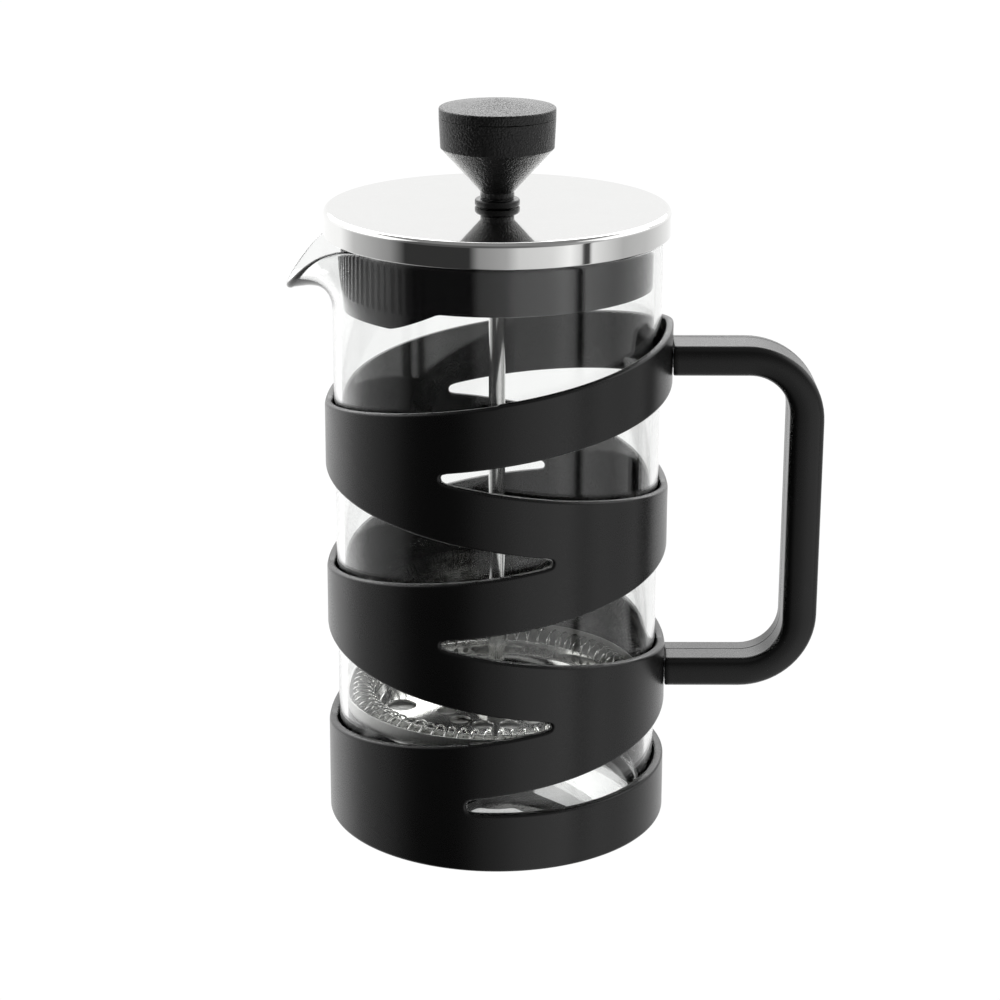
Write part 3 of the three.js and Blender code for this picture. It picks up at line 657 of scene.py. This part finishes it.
def handle():
    pairs = handle_path()
    section = bar_section()
    corner = pairs[ROOT_STEPS + 1]
    ends = []
    for base, flip in ((0, 1), (HANDLE_HIGH.z + HANDLE_LOW.z, -1)):
        rows = []
        for k, (inner, outer) in enumerate(pairs):
            row = []
            for across, width in section:
                t = across / BAR
                x, z = lerp(inner[0], outer[0], t), base + flip * lerp(inner[1], outer[1], t)
                if k <= ROOT_STEPS:
                    corner_x = lerp(corner[0][0], corner[1][0], t)
                    x = lerp(root_x(width, z), corner_x, k / (ROOT_STEPS + 1))
                row.append((x, width, z))
            rows.append(row)
        ends.append(root_rings(rows[0]) + rows[1:])
    upper, lower = ends
    points, faces = [], []
    strip(points, faces, upper + list(reversed(lower)), cyclic=True)
    width = len(section)
    faces.append(tuple(range(width)))
    faces.append(tuple(range(len(points) - width, len(points))))
    return build("handle_grip", points, faces, SATIN_BLACK)


stand_for(handle(), "handle")


# ---- beaker ----

GLASS_LOW, GLASS_HIGH = node_box("beaker")
GLASS_R = GLASS_HIGH.y
GLASS_WALL = 2.2
GLASS_FLOOR = 3.6
SPOUT_START_Z = 156
SPOUT_TIP_Z = 163.7
SPOUT_HALF_ANGLE = 42
SPOUT_REACH = -GLASS_LOW.x
MIDDLE_R = GLASS_R - GLASS_WALL / 2
RIM_FILLET = 1.05
HEEL_FILLET = 5
FLOOR_FILLET = 3.5
SPOUT_LEVELS = 24


def spout_curve(t):
    """Middle of the wall at the spout, as a cubic curve from the straight wall to the lip."""
    places = [(MIDDLE_R, SPOUT_START_Z), (MIDDLE_R, SPOUT_START_Z + 10.5),
              (52.5, SPOUT_START_Z + 10), (SPOUT_REACH, SPOUT_TIP_Z)]
    weights = [(1 - t) ** 3, 3 * t * (1 - t) ** 2, 3 * t * t * (1 - t), t ** 3]
    return [sum(w * p[axis] for w, p in zip(weights, places)) for axis in (0, 1)]


def wall_middle(t, pull):
    """Middle of the wall at t of the way up, where the spout draws it out by pull, 0 to 1."""
    r, z = spout_curve(t)
    return Vector((lerp(MIDDLE_R, r, pull),
                   lerp(lerp(SPOUT_START_Z, GLASS_HIGH.z, t), z, pull ** 2.2)))


def bend_to_spout(point):
    """Moves a point of the round beaker to its place on the spout."""
    x, y, z = point
    r = math.hypot(x, y)
    if z <= SPOUT_START_Z or r < 1:
        return point
    off_spout = math.degrees(math.acos(max(-1, min(1, -x / r)))) / SPOUT_HALF_ANGLE
    if off_spout >= 1:
        return point
    pull = math.cos(math.pi / 2 * off_spout) ** 2
    t = (z - SPOUT_START_Z) / (GLASS_HIGH.z - SPOUT_START_Z)
    along = (wall_middle(min(t + 0.02, 1), pull) - wall_middle(t - 0.02, pull)).normalized()
    middle = wall_middle(t, pull)
    bent = middle.x + along.y * (r - MIDDLE_R)
    return (x / r * bent, y / r * bent, middle.y - along.x * (r - MIDDLE_R))


def beaker():
    bore = GLASS_R - GLASS_WALL
    floor = GLASS_LOW.z + GLASS_FLOOR
    levels = [lerp(SPOUT_START_Z, GLASS_HIGH.z - 1.2, k / SPOUT_LEVELS) for k in range(SPOUT_LEVELS)]
    corners = [(0, GLASS_LOW.z, 0), (GLASS_R, GLASS_LOW.z, HEEL_FILLET)]
    corners += [(GLASS_R, z, 0) for z in levels]
    corners += [(GLASS_R, GLASS_HIGH.z, RIM_FILLET), (bore, GLASS_HIGH.z, RIM_FILLET)]
    corners += [(bore, z, 0) for z in reversed(levels)]
    corners += [(bore, floor, FLOOR_FILLET), (0, floor, 0)]
    points, faces = revolve(rounded(corners), 288)
    return build("glass_beaker", [bend_to_spout(p) for p in points], faces, CLEAR_GLASS)


stand_for(beaker(), "beaker")


# ---- lid ----

COVER_LOW, COVER_HIGH = node_box("lid_cover")
INSERT_LOW, INSERT_HIGH = node_box("lid_insert")
BUSH_LOW, BUSH_HIGH = node_box("rod_guide_bush")
COVER_SHEET = 0.8
STEM_R = 4
ROD_R = node_box("plunger_rod")[1].x
ROD_BORE = ROD_R + GAP


def lid_cover():
    outer, top, bottom = COVER_HIGH.x, COVER_HIGH.z, COVER_LOW.z
    inside = outer - COVER_SHEET
    return turned("lid_shell", [
        (STEM_R + GAP, top, 0.2), (STEM_R + GAP, top - COVER_SHEET, 0.2),
        (inside, top - COVER_SHEET, 0.7), (inside, bottom, 0.3),
        (outer, bottom, 0.3), (outer, top, 1.5)], MIRROR_STEEL, 384, step=5)


SKIRT_R = 45.3
INSERT_SKIRT_Z = 165.2
INSERT_WALL = 2
INSERT_WEB = 2.2
BOSS_WALL = 5
BOSS_DEPTH = 3
SKIRT_LIP = 0.4  # the lower edge is rounded over this height
PLAIN_COLUMNS = 144  # round the part of the skirt that has no slits
STRAINER_HALF_ANGLE = 69
STRAINER_STEP = 20
SLIT_COUNT = 41
SLIT_STEP = 3.2
SLIT_WIDTH = 1.4
END_GROOVES = 5
SLIT_Z = (164, 177)


def skirt_depth(degrees):
    """Lower edge of the insert's skirt: deeper in front of the spout."""
    away = abs((degrees + 90 + 180) % 360 - 180)
    ramp = min(max(1 - (STRAINER_HALF_ANGLE - away) / STRAINER_STEP, 0), 1)
    return lerp(INSERT_LOW.z, INSERT_SKIRT_Z, ramp ** 1.25)


def insert_angles():
    """Columns round the skirt as (degrees, what starts there): "slit", "groove" or None."""
    half_slit = math.degrees(SLIT_WIDTH / 2 / SKIRT_R)
    columns = []
    for k in range(SLIT_COUNT):
        middle = -90 + (k - (SLIT_COUNT - 1) / 2) * SLIT_STEP
        kind = "groove" if min(k, SLIT_COUNT - 1 - k) < END_GROOVES else "slit"
        columns += [(middle - half_slit, kind), (middle + half_slit, None)]
    first, last = columns[0][0], columns[-1][0]
    columns += [(lerp(last, first + 360, k / PLAIN_COLUMNS), None) for k in range(1, PLAIN_COLUMNS)]
    return columns


def lid_insert():
    """Flange, web and skirt as columns of points, with slits and grooves cut between them."""
    flange_r = INSERT_HIGH.x
    inside = SKIRT_R - INSERT_WALL
    groove_r = SKIRT_R - INSERT_WALL / 2
    top = INSERT_HIGH.z
    web = top - INSERT_WEB
    flange_z = GLASS_HIGH.z + GAP
    bore = STEM_R + GAP
    boss_r, boss_z = bore + BOSS_WALL, web - BOSS_DEPTH
    angles = insert_angles()
    upper = supported(rounded([
        (SKIRT_R, SLIT_Z[1], 0), (SKIRT_R, flange_z, 0.3), (flange_r, flange_z, 0.3), (flange_r, top, 0.8),
        (bore, top, 0.2), (bore, boss_z, 0.2), (boss_r, boss_z, 0.4), (boss_r, web, 0.4),
        (inside, web, 0.8), (inside, SLIT_Z[1], 0)], closed=False))[:-2]
    points, faces = [], []
    for degrees, _ in angles:
        deep = skirt_depth(degrees)
        lip, corner = deep + SKIRT_LIP, SKIRT_LIP * 0.3
        edge = max(SLIT_Z[0], lip + 0.1)
        lower = [(inside, edge), (inside, lip), (inside + corner, deep + corner),
                 (inside + SKIRT_LIP, deep), (SKIRT_R - SKIRT_LIP, deep),
                 (SKIRT_R - corner, deep + corner), (SKIRT_R, lip), (SKIRT_R, edge)]
        points += [around(r, degrees, z) for r, z in upper + lower]
    width = len(upper) + len(lower)
    outer_gap, inner_gap = width - 1, len(upper) - 1
    for k, (_, kind) in enumerate(angles):
        here, beside = k * width, (k + 1) % len(angles) * width
        for i in range(width):
            j = (i + 1) % width
            is_open = kind == "slit" and i == inner_gap or kind and i == outer_gap
            if not is_open:
                faces.append((here + i, here + j, beside + j, beside + i))
        if kind is None:
            continue
        ends = [[side + outer_gap, side, side + inner_gap, side + inner_gap + 1] for side in (here, beside)]
        if kind == "groove":
            for side, (angle, _) in zip(ends, (angles[k], angles[k + 1])):
                side[2:] = [len(points), len(points) + 1]
                points += [around(groove_r, angle, SLIT_Z[1]), around(groove_r, angle, SLIT_Z[0])]
            faces.append((ends[0][2], ends[0][3], ends[1][3], ends[1][2]))
        faces += [tuple(ends[0]), tuple(ends[1])]
        faces.append((ends[0][1], ends[1][1], ends[1][2], ends[0][2]))
        faces.append((ends[0][0], ends[1][0], ends[1][3], ends[0][3]))
    return build("strainer_insert", points, faces, GLOSS_BLACK, sharp=30)


def bush():
    low, top = BUSH_LOW.z, BUSH_HIGH.z
    collar = COVER_HIGH.z + GAP
    return turned("rod_bush", [
        (ROD_BORE, low, 0.2), (STEM_R, low, 0.3), (STEM_R, collar, 0), (BUSH_HIGH.x, collar, 0.2),
        (BUSH_HIGH.x, top, 0.7), (ROD_BORE, top, 0.2)], SATIN_BLACK, 96)


THREAD_STEP = 0.4  # from a thread's crest to its root, along the bore
THREAD_DEPTHS = (0.25, 0.02)
NUT_CHAMFER = 0.5


def hex_nut(name, node, bore, material):
    """A nut with chamfered corners, turned-down faces and a threaded bore."""
    low, high = node_box(node)
    corner_r = max(high.x, high.y)
    flat_r = corner_r * math.cos(math.radians(30))
    segments = 96

    def hexagon(limit, z):
        row = []
        for k in range(segments):
            degrees = 360 * k / segments
            off_corner = (degrees - 90 + 30) % 60 - 30
            side = flat_r / math.cos(math.radians(30 - abs(off_corner)))
            row.append(around(min(side, limit), degrees, z))
        return row

    def ring(r, z):
        return [around(r, 360 * k / segments, z) for k in range(segments)]

    def end_rows(z, inward):
        """Rows over one end, from the bore out and round the chamfer."""
        return [ring(bore + 0.3, z), hexagon(flat_r - 0.1, z),
                hexagon(corner_r - 0.25, z + inward * NUT_CHAMFER / 2),
                hexagon(corner_r, z + inward * NUT_CHAMFER)]

    rows = end_rows(low.z, 1) + list(reversed(end_rows(high.z, -1)))
    turns = int((high.z - low.z) / THREAD_STEP)
    for k in range(1, turns):
        rows.append(ring(bore + THREAD_DEPTHS[k % 2], lerp(high.z, low.z, k / turns)))
    rows.append(rows[0])
    return looped(name, rows, material, sharp=25)


stand_for(lid_cover(), "lid_cover")
stand_for(lid_insert(), "lid_insert")
stand_for(bush(), "rod_guide_bush")
stand_for(hex_nut("bush_nut", "guide_nut", STEM_R + GAP, SATIN_BLACK), "guide_nut")


# ---- knob and rod ----

KNOB_LOW, KNOB_HIGH = node_box("knob_body")
CAP_LOW, CAP_HIGH = node_box("knob_cap")
SEAM_Z = KNOB_HIGH.z + GAP
SEAM_OPEN = 0.08
CAP_EDGE_Z = 215.5
CAP_PLUG_WALL = 1.6
KNOB_WALL = 2.6
NECK_R, NECK_Z = 4.9, 191.2
CONE_R, CONE_Z = 16.4, 204
KNURL_DEPTH = 0.18
KNOB_THREAD = 11  # the rod's thread reaches this far down from its top


def knob_body():
    bottom, top, radius = KNOB_LOW.z, SEAM_Z - SEAM_OPEN, KNOB_HIGH.x
    low, high = node_box("knob_thread_insert")
    pocket, pocket_low, pocket_high = high.x + GAP, low.z - GAP, high.z + GAP
    return turned("knob", [
        (ROD_BORE, bottom, 0.2), (NECK_R, bottom, 0.3), (NECK_R, NECK_Z, 0.2), (CONE_R, CONE_Z, 0.2),
        (radius, top, 0.2), (radius - KNOB_WALL, top, 0.2), (radius - KNOB_WALL, pocket_high, 0.8),
        (pocket, pocket_high, 0.2), (pocket, pocket_low, 0.2), (ROD_BORE, pocket_low, 0.2)],
        KNOB_BLACK, 144)


def knob_cap():
    radius, top = CAP_HIGH.x, CAP_HIGH.z
    plug = radius - KNOB_WALL - GAP
    inside = plug - CAP_PLUG_WALL
    corners = [(0, SEAM_Z, 0), (inside, SEAM_Z, 0.3), (inside, CAP_LOW.z, 0.3), (plug, CAP_LOW.z, 0.3),
               (plug, SEAM_Z, 0.1), (radius, SEAM_Z, 0.2), (radius, CAP_EDGE_Z, 0.55)]
    for k in range(1, 13):
        inward = k / 12
        corners.append((radius * (1 - inward), lerp(CAP_EDGE_Z, top, inward ** 1.15), 0))
    return turned("knob_top", corners, KNOB_BLACK, 144)


def knurled_insert():
    """A bush with two knurled bands and a plain waist between them."""
    low, high = node_box("knob_thread_insert")
    outer, length = high.x, high.z - low.z
    half = [(ROD_BORE, 0, 0), (outer - 0.4, 0, 0), (outer, 0.4, 1), (outer, 0.4 * length, 1),
            (outer - 0.5, 0.45 * length, 0)]
    profile = [(r, low.z + up, knurled) for r, up, knurled in half]
    profile += [(r, high.z - down, knurled) for r, down, knurled in reversed(half)]
    profile.append(profile[0])
    segments = 144
    rows = []
    for r, z, knurled in profile:
        depth = KNURL_DEPTH * knurled
        rows.append([around(r - depth * (k % 4 // 2), 360 * k / segments, z) for k in range(segments)])
    return looped("brass_thread", rows, BRASS, sharp=25)


def rod():
    """The polished rod, with a cut thread at each end."""
    low, high = node_box("plunger_rod")
    pitch, depth = 0.8, 0.35
    thread_spans = [(low.z + 0.5, node_box("upper_nut")[1].z), (high.z - KNOB_THREAD, high.z - 0.6)]
    corners = [(0, low.z), (ROD_R - 0.5, low.z)]
    for start, end in thread_spans:
        turns = int((end - start) / pitch)
        for k in range(turns):
            z = start + k * pitch
            corners += [(ROD_R, z), (ROD_R, z + 0.2), (ROD_R - depth, z + 0.5), (ROD_R - depth, z + 0.6)]
        corners.append((ROD_R, start + turns * pitch))
    corners += [(ROD_R - 0.4, high.z), (0, high.z)]
    points, faces = revolve(corners, 64)
    return build("rod", points, faces, ROD_STEEL, sharp=25)


stand_for(knob_body(), "knob_body")
stand_for(knob_cap(), "knob_cap")
stand_for(knurled_insert(), "knob_thread_insert")
stand_for(rod(), "plunger_rod")


# ---- filter stack ----

COIL_OUTER_R = node_box("spring_coil")[1].x
PLATE_LOW, PLATE_HIGH = node_box("spring_plate")
MESH_LOW, MESH_HIGH = node_box("filter_mesh")
COIL_TURNS = 71
WIRE_R = 0.34
COIL_INNER_R = 37.2  # the turns reach in through the plate's wall
COIL_HALF_R = (COIL_OUTER_R - COIL_INNER_R) / 2 - WIRE_R
COIL_HALF_Z = 3.0
COIL_CORE_R = COIL_OUTER_R - WIRE_R - COIL_HALF_R
COIL_CORE_Z = 38.4
MESH_LEAN = 1.3
MESH_LEAN_TOWARDS = 139
MESH_SHEET = 0.4
MESH_PITCH = 0.36
MESH_FLAT_R = 38
MESH_TURN_R = 40
MESH_WALL = 5  # the upright wall starts this far above the mesh's underside
CROSS_HUB_R = 9
CROSS_RING = 4.5
CROSS_SPOKE = 7
PLATE_SHEET = 0.8
PLATE_FLAT_R = 36.6
PLATE_HOLES = ((12, 15.5, 3.05, 15), (12, 29, 4.4, 0))  # count, ring radius, radius, first angle


def mesh_lean(degrees):
    """The mesh's hand-folded rim is not level: height above its mean, by direction."""
    return MESH_LEAN * math.cos(math.radians(degrees - MESH_LEAN_TOWARDS))


def coil_middle(degrees):
    """The coil's middle circle rides a little higher where the mesh stands higher."""
    return Vector(around(COIL_CORE_R, degrees, COIL_CORE_Z + 0.5 * mesh_lean(degrees)))


def spring_coil():
    """One wire wound round a ring, through the holes in the plate's wall."""
    steps = COIL_TURNS * 24
    sides = 8

    def wound(k):
        degrees = 360 * k / steps
        wind = 2 * math.pi * COIL_TURNS * k / steps
        out = Vector(around(COIL_HALF_R * math.cos(wind), degrees, COIL_HALF_Z * math.sin(wind)))
        return coil_middle(degrees) + out

    rows = []
    for k in range(steps + 1):
        here = wound(k)
        along = (wound(k + 1) - wound(k - 1)).normalized()
        out = (here - coil_middle(360 * k / steps)).normalized()
        out = (out - along * out.dot(along)).normalized()
        across = along.cross(out)
        rows.append([tuple(here + WIRE_R * (out * math.cos(a) + across * math.sin(a)))
                     for a in (2 * math.pi * s / sides for s in range(sides))])
    return looped("coil", rows, WIRE_STEEL)


def spring_plate():
    """A dished plate: a flat floor with two rings of holes, and an upright pierced wall."""
    wall_r = PLATE_HIGH.x
    inner_r = wall_r - PLATE_SHEET
    low, rim = PLATE_LOW.z, PLATE_HIGH.z
    low_hole, high_hole = low + 3.4, low + 5.6
    holes = [circle(ROD_BORE, clockwise=True)]
    for count, ring_r, hole_r, first in PLATE_HOLES:
        for k in range(count):
            x, y, _ = around(ring_r, first + 360 / count * k, 0)
            holes.append(circle(hole_r, x, y, 40, clockwise=True))
    floor = circle(PLATE_FLAT_R - 1, count=192)
    points, faces = disc_with_holes(floor, holes, low, low + PLATE_SHEET, edge=0.1)
    over_holes = rounded([(wall_r, high_hole, 0), (wall_r, rim, 0.3), (inner_r, rim, 0.3),
                          (inner_r, high_hole, 0)], closed=False)
    under_holes = rounded([
        (inner_r, low_hole, 0), (inner_r, low + 2.8, 1.2), (PLATE_FLAT_R - 0.5, low + PLATE_SHEET, 0.8),
        (PLATE_FLAT_R - 1.2, low + PLATE_SHEET, 0), (PLATE_FLAT_R - 1.2, low, 0), (PLATE_FLAT_R, low, 1.2),
        (wall_r, low + 2.4, 1.5), (wall_r, low_hole, 0)], closed=False)
    columns = [90 * k / COIL_TURNS for k in range(4 * COIL_TURNS + 1)]
    for profile in (over_holes, under_holes):
        strip(points, faces, [[around(r, degrees, z) for degrees in columns] for r, z in profile])
    wall_holes(points, faces, wall_r, low_hole, high_hole)
    return build("plate", points, faces, PLATE_STEEL, sharp=30)


def wall_holes(points, faces, wall_r, low, high):
    """The plate's wall between two heights, with a round hole for every turn of the coil."""
    pitch = 360 / COIL_TURNS
    mid, radius = (low + high) / 2, 0.42 * (high - low)
    half = math.radians(pitch / 2) * wall_r
    border = [(half * (i / 2 - 1), low) for i in range(4)]
    border += [(half, lerp(low, high, i / 3)) for i in range(3)]
    border += [(-x, low + high - z) for x, z in border]
    turns = [math.atan2(z - mid, x) for x, z in border]
    hole = [(radius * math.cos(a), mid + radius * math.sin(a)) for a in turns]
    inner_r = wall_r - PLATE_SHEET
    for k in range(COIL_TURNS):
        middle = pitch * (k + 0.5)
        strip(points, faces, [[around(r, middle + math.degrees(x / wall_r), z) for x, z in line]
                              for line, r in ((border, wall_r), (hole, wall_r), (hole, inner_r),
                                              (border, inner_r))], cyclic=True)


def filter_mesh():
    """The mesh disc, folded up round the coil to a rim that is not quite level."""
    outer, low = MESH_HIGH.x, MESH_LOW.z
    top = MESH_HIGH.z - MESH_LEAN - 0.1
    inside, floor = outer - MESH_SHEET, low + MESH_SHEET
    profile = rounded([
        (ROD_BORE, low, 0), (MESH_FLAT_R, low, 1.5), (outer, low + MESH_WALL, 3), (outer, top - 0.5, 0),
        (outer, top, 0.15), (inside, top, 0.15), (inside, top - 0.5, 0),
        (inside, low + MESH_WALL + 0.2, 2.6), (MESH_FLAT_R - 0.2, floor, 1), (ROD_BORE, floor, 0)])
    points, faces = revolve(profile, 288)
    leaned = []
    for x, y, z in points:
        lean = mesh_lean(math.degrees(math.atan2(x, -y))) * smooth(z, low + MESH_WALL, top)
        leaned.append((x, y, z + lean))
    return build("mesh_cup", leaned, faces, woven_finish("woven_wire", MESH_PITCH, MESH_TURN_R))


def cross_plate():
    low, high = node_box("cross_plate")
    outer = high.x
    windows = sector_windows(CROSS_HUB_R, outer - CROSS_RING, CROSS_SPOKE, 1.2)
    holes = [circle(ROD_BORE, clockwise=True)] + windows
    points, faces = disc_with_holes(circle(outer, count=144), holes, low.z, high.z, edge=0.2)
    return build("cross", points, faces, PLATE_STEEL, sharp=30)


stand_for(spring_plate(), "spring_plate")
stand_for(spring_coil(), "spring_coil")
stand_for(filter_mesh(), "filter_mesh")
stand_for(cross_plate(), "cross_plate")
stand_for(hex_nut("nut_top", "upper_nut", ROD_BORE, NUT_STEEL), "upper_nut")
stand_for(hex_nut("nut_bottom", "lower_nut", ROD_BORE, NUT_STEEL), "lower_nut")
for screw in ("handle_screw_upper", "handle_screw_lower"):
    frame["nodes"][screw].data.materials.clear()
    frame["nodes"][screw].data.materials.append(ZINC)


# ---- studio ----

CAMERA_DISTANCE = 0.7390
CAMERA_HEIGHT = 0.3401
CAMERA_PITCH = 18.16
CAMERA_YAW = 0.074
CAMERA_ROLL = 0.127
LENS = 93.72
WHITE = 1.02
CEILING = 0.25
FLOOR_HALF = 6
FLOOR_DROP = 0.0002
SHADE_R = 0.049  # the floor's glow is dimmed inside this radius, under the sleeve: a painted shadow

# Brightness of the studio by angle round the press, from 0 at -Y: (degrees, brightness).
# The low band is below the horizon and the high band above it.
LOW_BAND = [(-180, 1.1), (-124, 1.1), (-108, 0.6), (-74, 0.3), (-62, 0.035), (-18, 0.035), (-12, 0.3),
            (6, 0.42), (14, 0.7), (36, 0.8), (48, 1.05), (56, 0.75), (58, 0.06), (62, 0.06), (64, 0.9),
            (90, 0.5), (114, 0.6), (138, 0.85), (168, 1.1), (180, 1.1)]
HIGH_BAND = [(-180, 1.0), (-120, 1.2), (-100, 0.8), (-60, 0.1), (-10, 0.1), (20, 0.16), (60, 0.4),
             (110, 0.8), (150, 1.1), (180, 1.0)]


def camera():
    data = bpy.data.cameras.new("camera")
    data.lens = LENS
    data.sensor_width = 36
    data.clip_start = 0.01
    eye = bpy.data.objects.new("camera", data)
    eye.location = (0, -CAMERA_DISTANCE, CAMERA_HEIGHT)
    yaw = Matrix.Rotation(math.radians(-CAMERA_YAW), 3, "Z")
    pitch = Matrix.Rotation(math.radians(90 - CAMERA_PITCH), 3, "X")
    roll = Matrix.Rotation(math.radians(CAMERA_ROLL), 3, "Z")
    eye.rotation_euler = (yaw @ pitch @ roll).to_euler()
    bpy.context.scene.collection.objects.link(eye)
    bpy.context.scene.camera = eye


def seen_directly(tree):
    """1 for what the camera sees straight or through glass, 0 for what lights or reflects."""
    path = add_node(tree, "LightPath").outputs
    bounces = maths(tree, "ADD", path["Glossy Depth"], path["Diffuse Depth"])
    first_sight = maths(tree, "LESS_THAN", bounces, 0.5)
    through_glass = maths(tree, "MULTIPLY", path["Is Transmission Ray"], first_sight)
    return maths(tree, "MAXIMUM", path["Is Camera Ray"], through_glass)


def stage_floor():
    """A pale floor that glows evenly, as a lit sweep does, with a painted shadow under the press."""
    material = bpy.data.materials.new("pale_floor")
    material.use_nodes = True
    tree = material.node_tree
    tree.nodes.clear()
    place = add_node(tree, "TexCoord").outputs["Object"]
    from_middle = add_node(tree, "VectorMath", {0: place}, operation="LENGTH").outputs["Value"]
    # painted shadow: the glow is dimmed inside SHADE_R, under the press
    shade = scaled(tree, from_middle, 0.02, 0.046, 0.62, 0.38)
    outside = maths(tree, "GREATER_THAN", from_middle, SHADE_R)
    strength = mix(tree, outside, shade, WHITE, "FLOAT")
    glow = add_node(tree, "Emission", {"Color": (1, 1, 1, 1), "Strength": strength})
    clear = add_node(tree, "BsdfTransparent")
    look = add_node(tree, "MixShader", {0: seen_directly(tree), 1: clear.outputs[0], 2: glow.outputs[0]})
    add_node(tree, "OutputMaterial", {"Surface": look.outputs[0]})
    half = FLOOR_HALF
    mesh = bpy.data.meshes.new("floor")
    mesh.from_pydata([(-half, -half, 0), (half, -half, 0), (half, half, 0), (-half, half, 0)],
                     [], [(0, 1, 2, 3)])
    mesh.materials.append(material)
    floor = bpy.data.objects.new("floor", mesh)
    floor.location.z = -FLOOR_DROP
    bpy.context.scene.collection.objects.link(floor)


def softbox(name, place, target, size, power):
    """An area light aimed at a point on the press's axis, hidden from the camera."""
    data = bpy.data.lights.new(name, "AREA")
    data.shape = "RECTANGLE"
    data.size, data.size_y = size
    data.energy = power
    light = bpy.data.objects.new(name, data)
    light.location = place
    light.rotation_euler = (Vector(target) - Vector(place)).to_track_quat("-Z", "Y").to_euler()
    light.visible_camera = False
    bpy.context.scene.collection.objects.link(light)


def brightness_ramp(tree, turn, stops):
    """Brightness by turn round the press, 0 to 1 from the far side, through (degrees, value)."""
    node = add_node(tree, "ValToRGB", {0: turn})
    ramp = node.color_ramp
    while len(ramp.elements) < len(stops):
        ramp.elements.new(1.0)
    for element, (degrees, value) in zip(ramp.elements, stops):
        element.position = (degrees + 180) / 360
        element.color = (value, value, value, 1)
    return node.outputs[0]


def studio_world():
    """White for the camera and through glass; a studio of pale walls and dark gaps in
    reflections, laid out by direction round the press."""
    world = bpy.data.worlds.new("studio")
    bpy.context.scene.world = world
    world.use_nodes = True
    tree = world.node_tree
    tree.nodes.clear()
    axes = add_node(tree, "SeparateXYZ", {0: add_node(tree, "TexCoord").outputs["Generated"]}).outputs
    towards_camera = maths(tree, "MULTIPLY", axes[1], -1.0)
    angle = maths(tree, "ARCTAN2", axes[0], towards_camera)
    turn = maths(tree, "ADD", maths(tree, "DIVIDE", angle, 2 * math.pi), 0.5)
    low = brightness_ramp(tree, turn, LOW_BAND)
    high = brightness_ramp(tree, turn, HIGH_BAND)
    walls = mix(tree, scaled(tree, axes[2], -0.12, 0.05), low, high)
    overhead = scaled(tree, axes[2], 0.55, 0.75)
    studio = mix(tree, overhead, walls, (CEILING, CEILING, CEILING, 1))
    colour = mix(tree, seen_directly(tree), studio, (WHITE, WHITE, WHITE, 1))
    glow = add_node(tree, "Background", {"Color": colour})
    add_node(tree, "OutputWorld", {"Surface": glow.outputs[0]})


camera()
stage_floor()
studio_world()
softbox("left_box", (-1.1, 0.1, 0.85), (0, 0, 0.15), (1.1, 0.9), 3)
softbox("right_box", (1.1, 0.1, 0.85), (0, 0, 0.15), (1.1, 0.9), 2.5)
softbox("back_box", (0, 1.0, 0.85), (0, 0, 0.1), (2.2, 0.8), 13)
bpy.context.scene.view_settings.view_transform = "Standard"
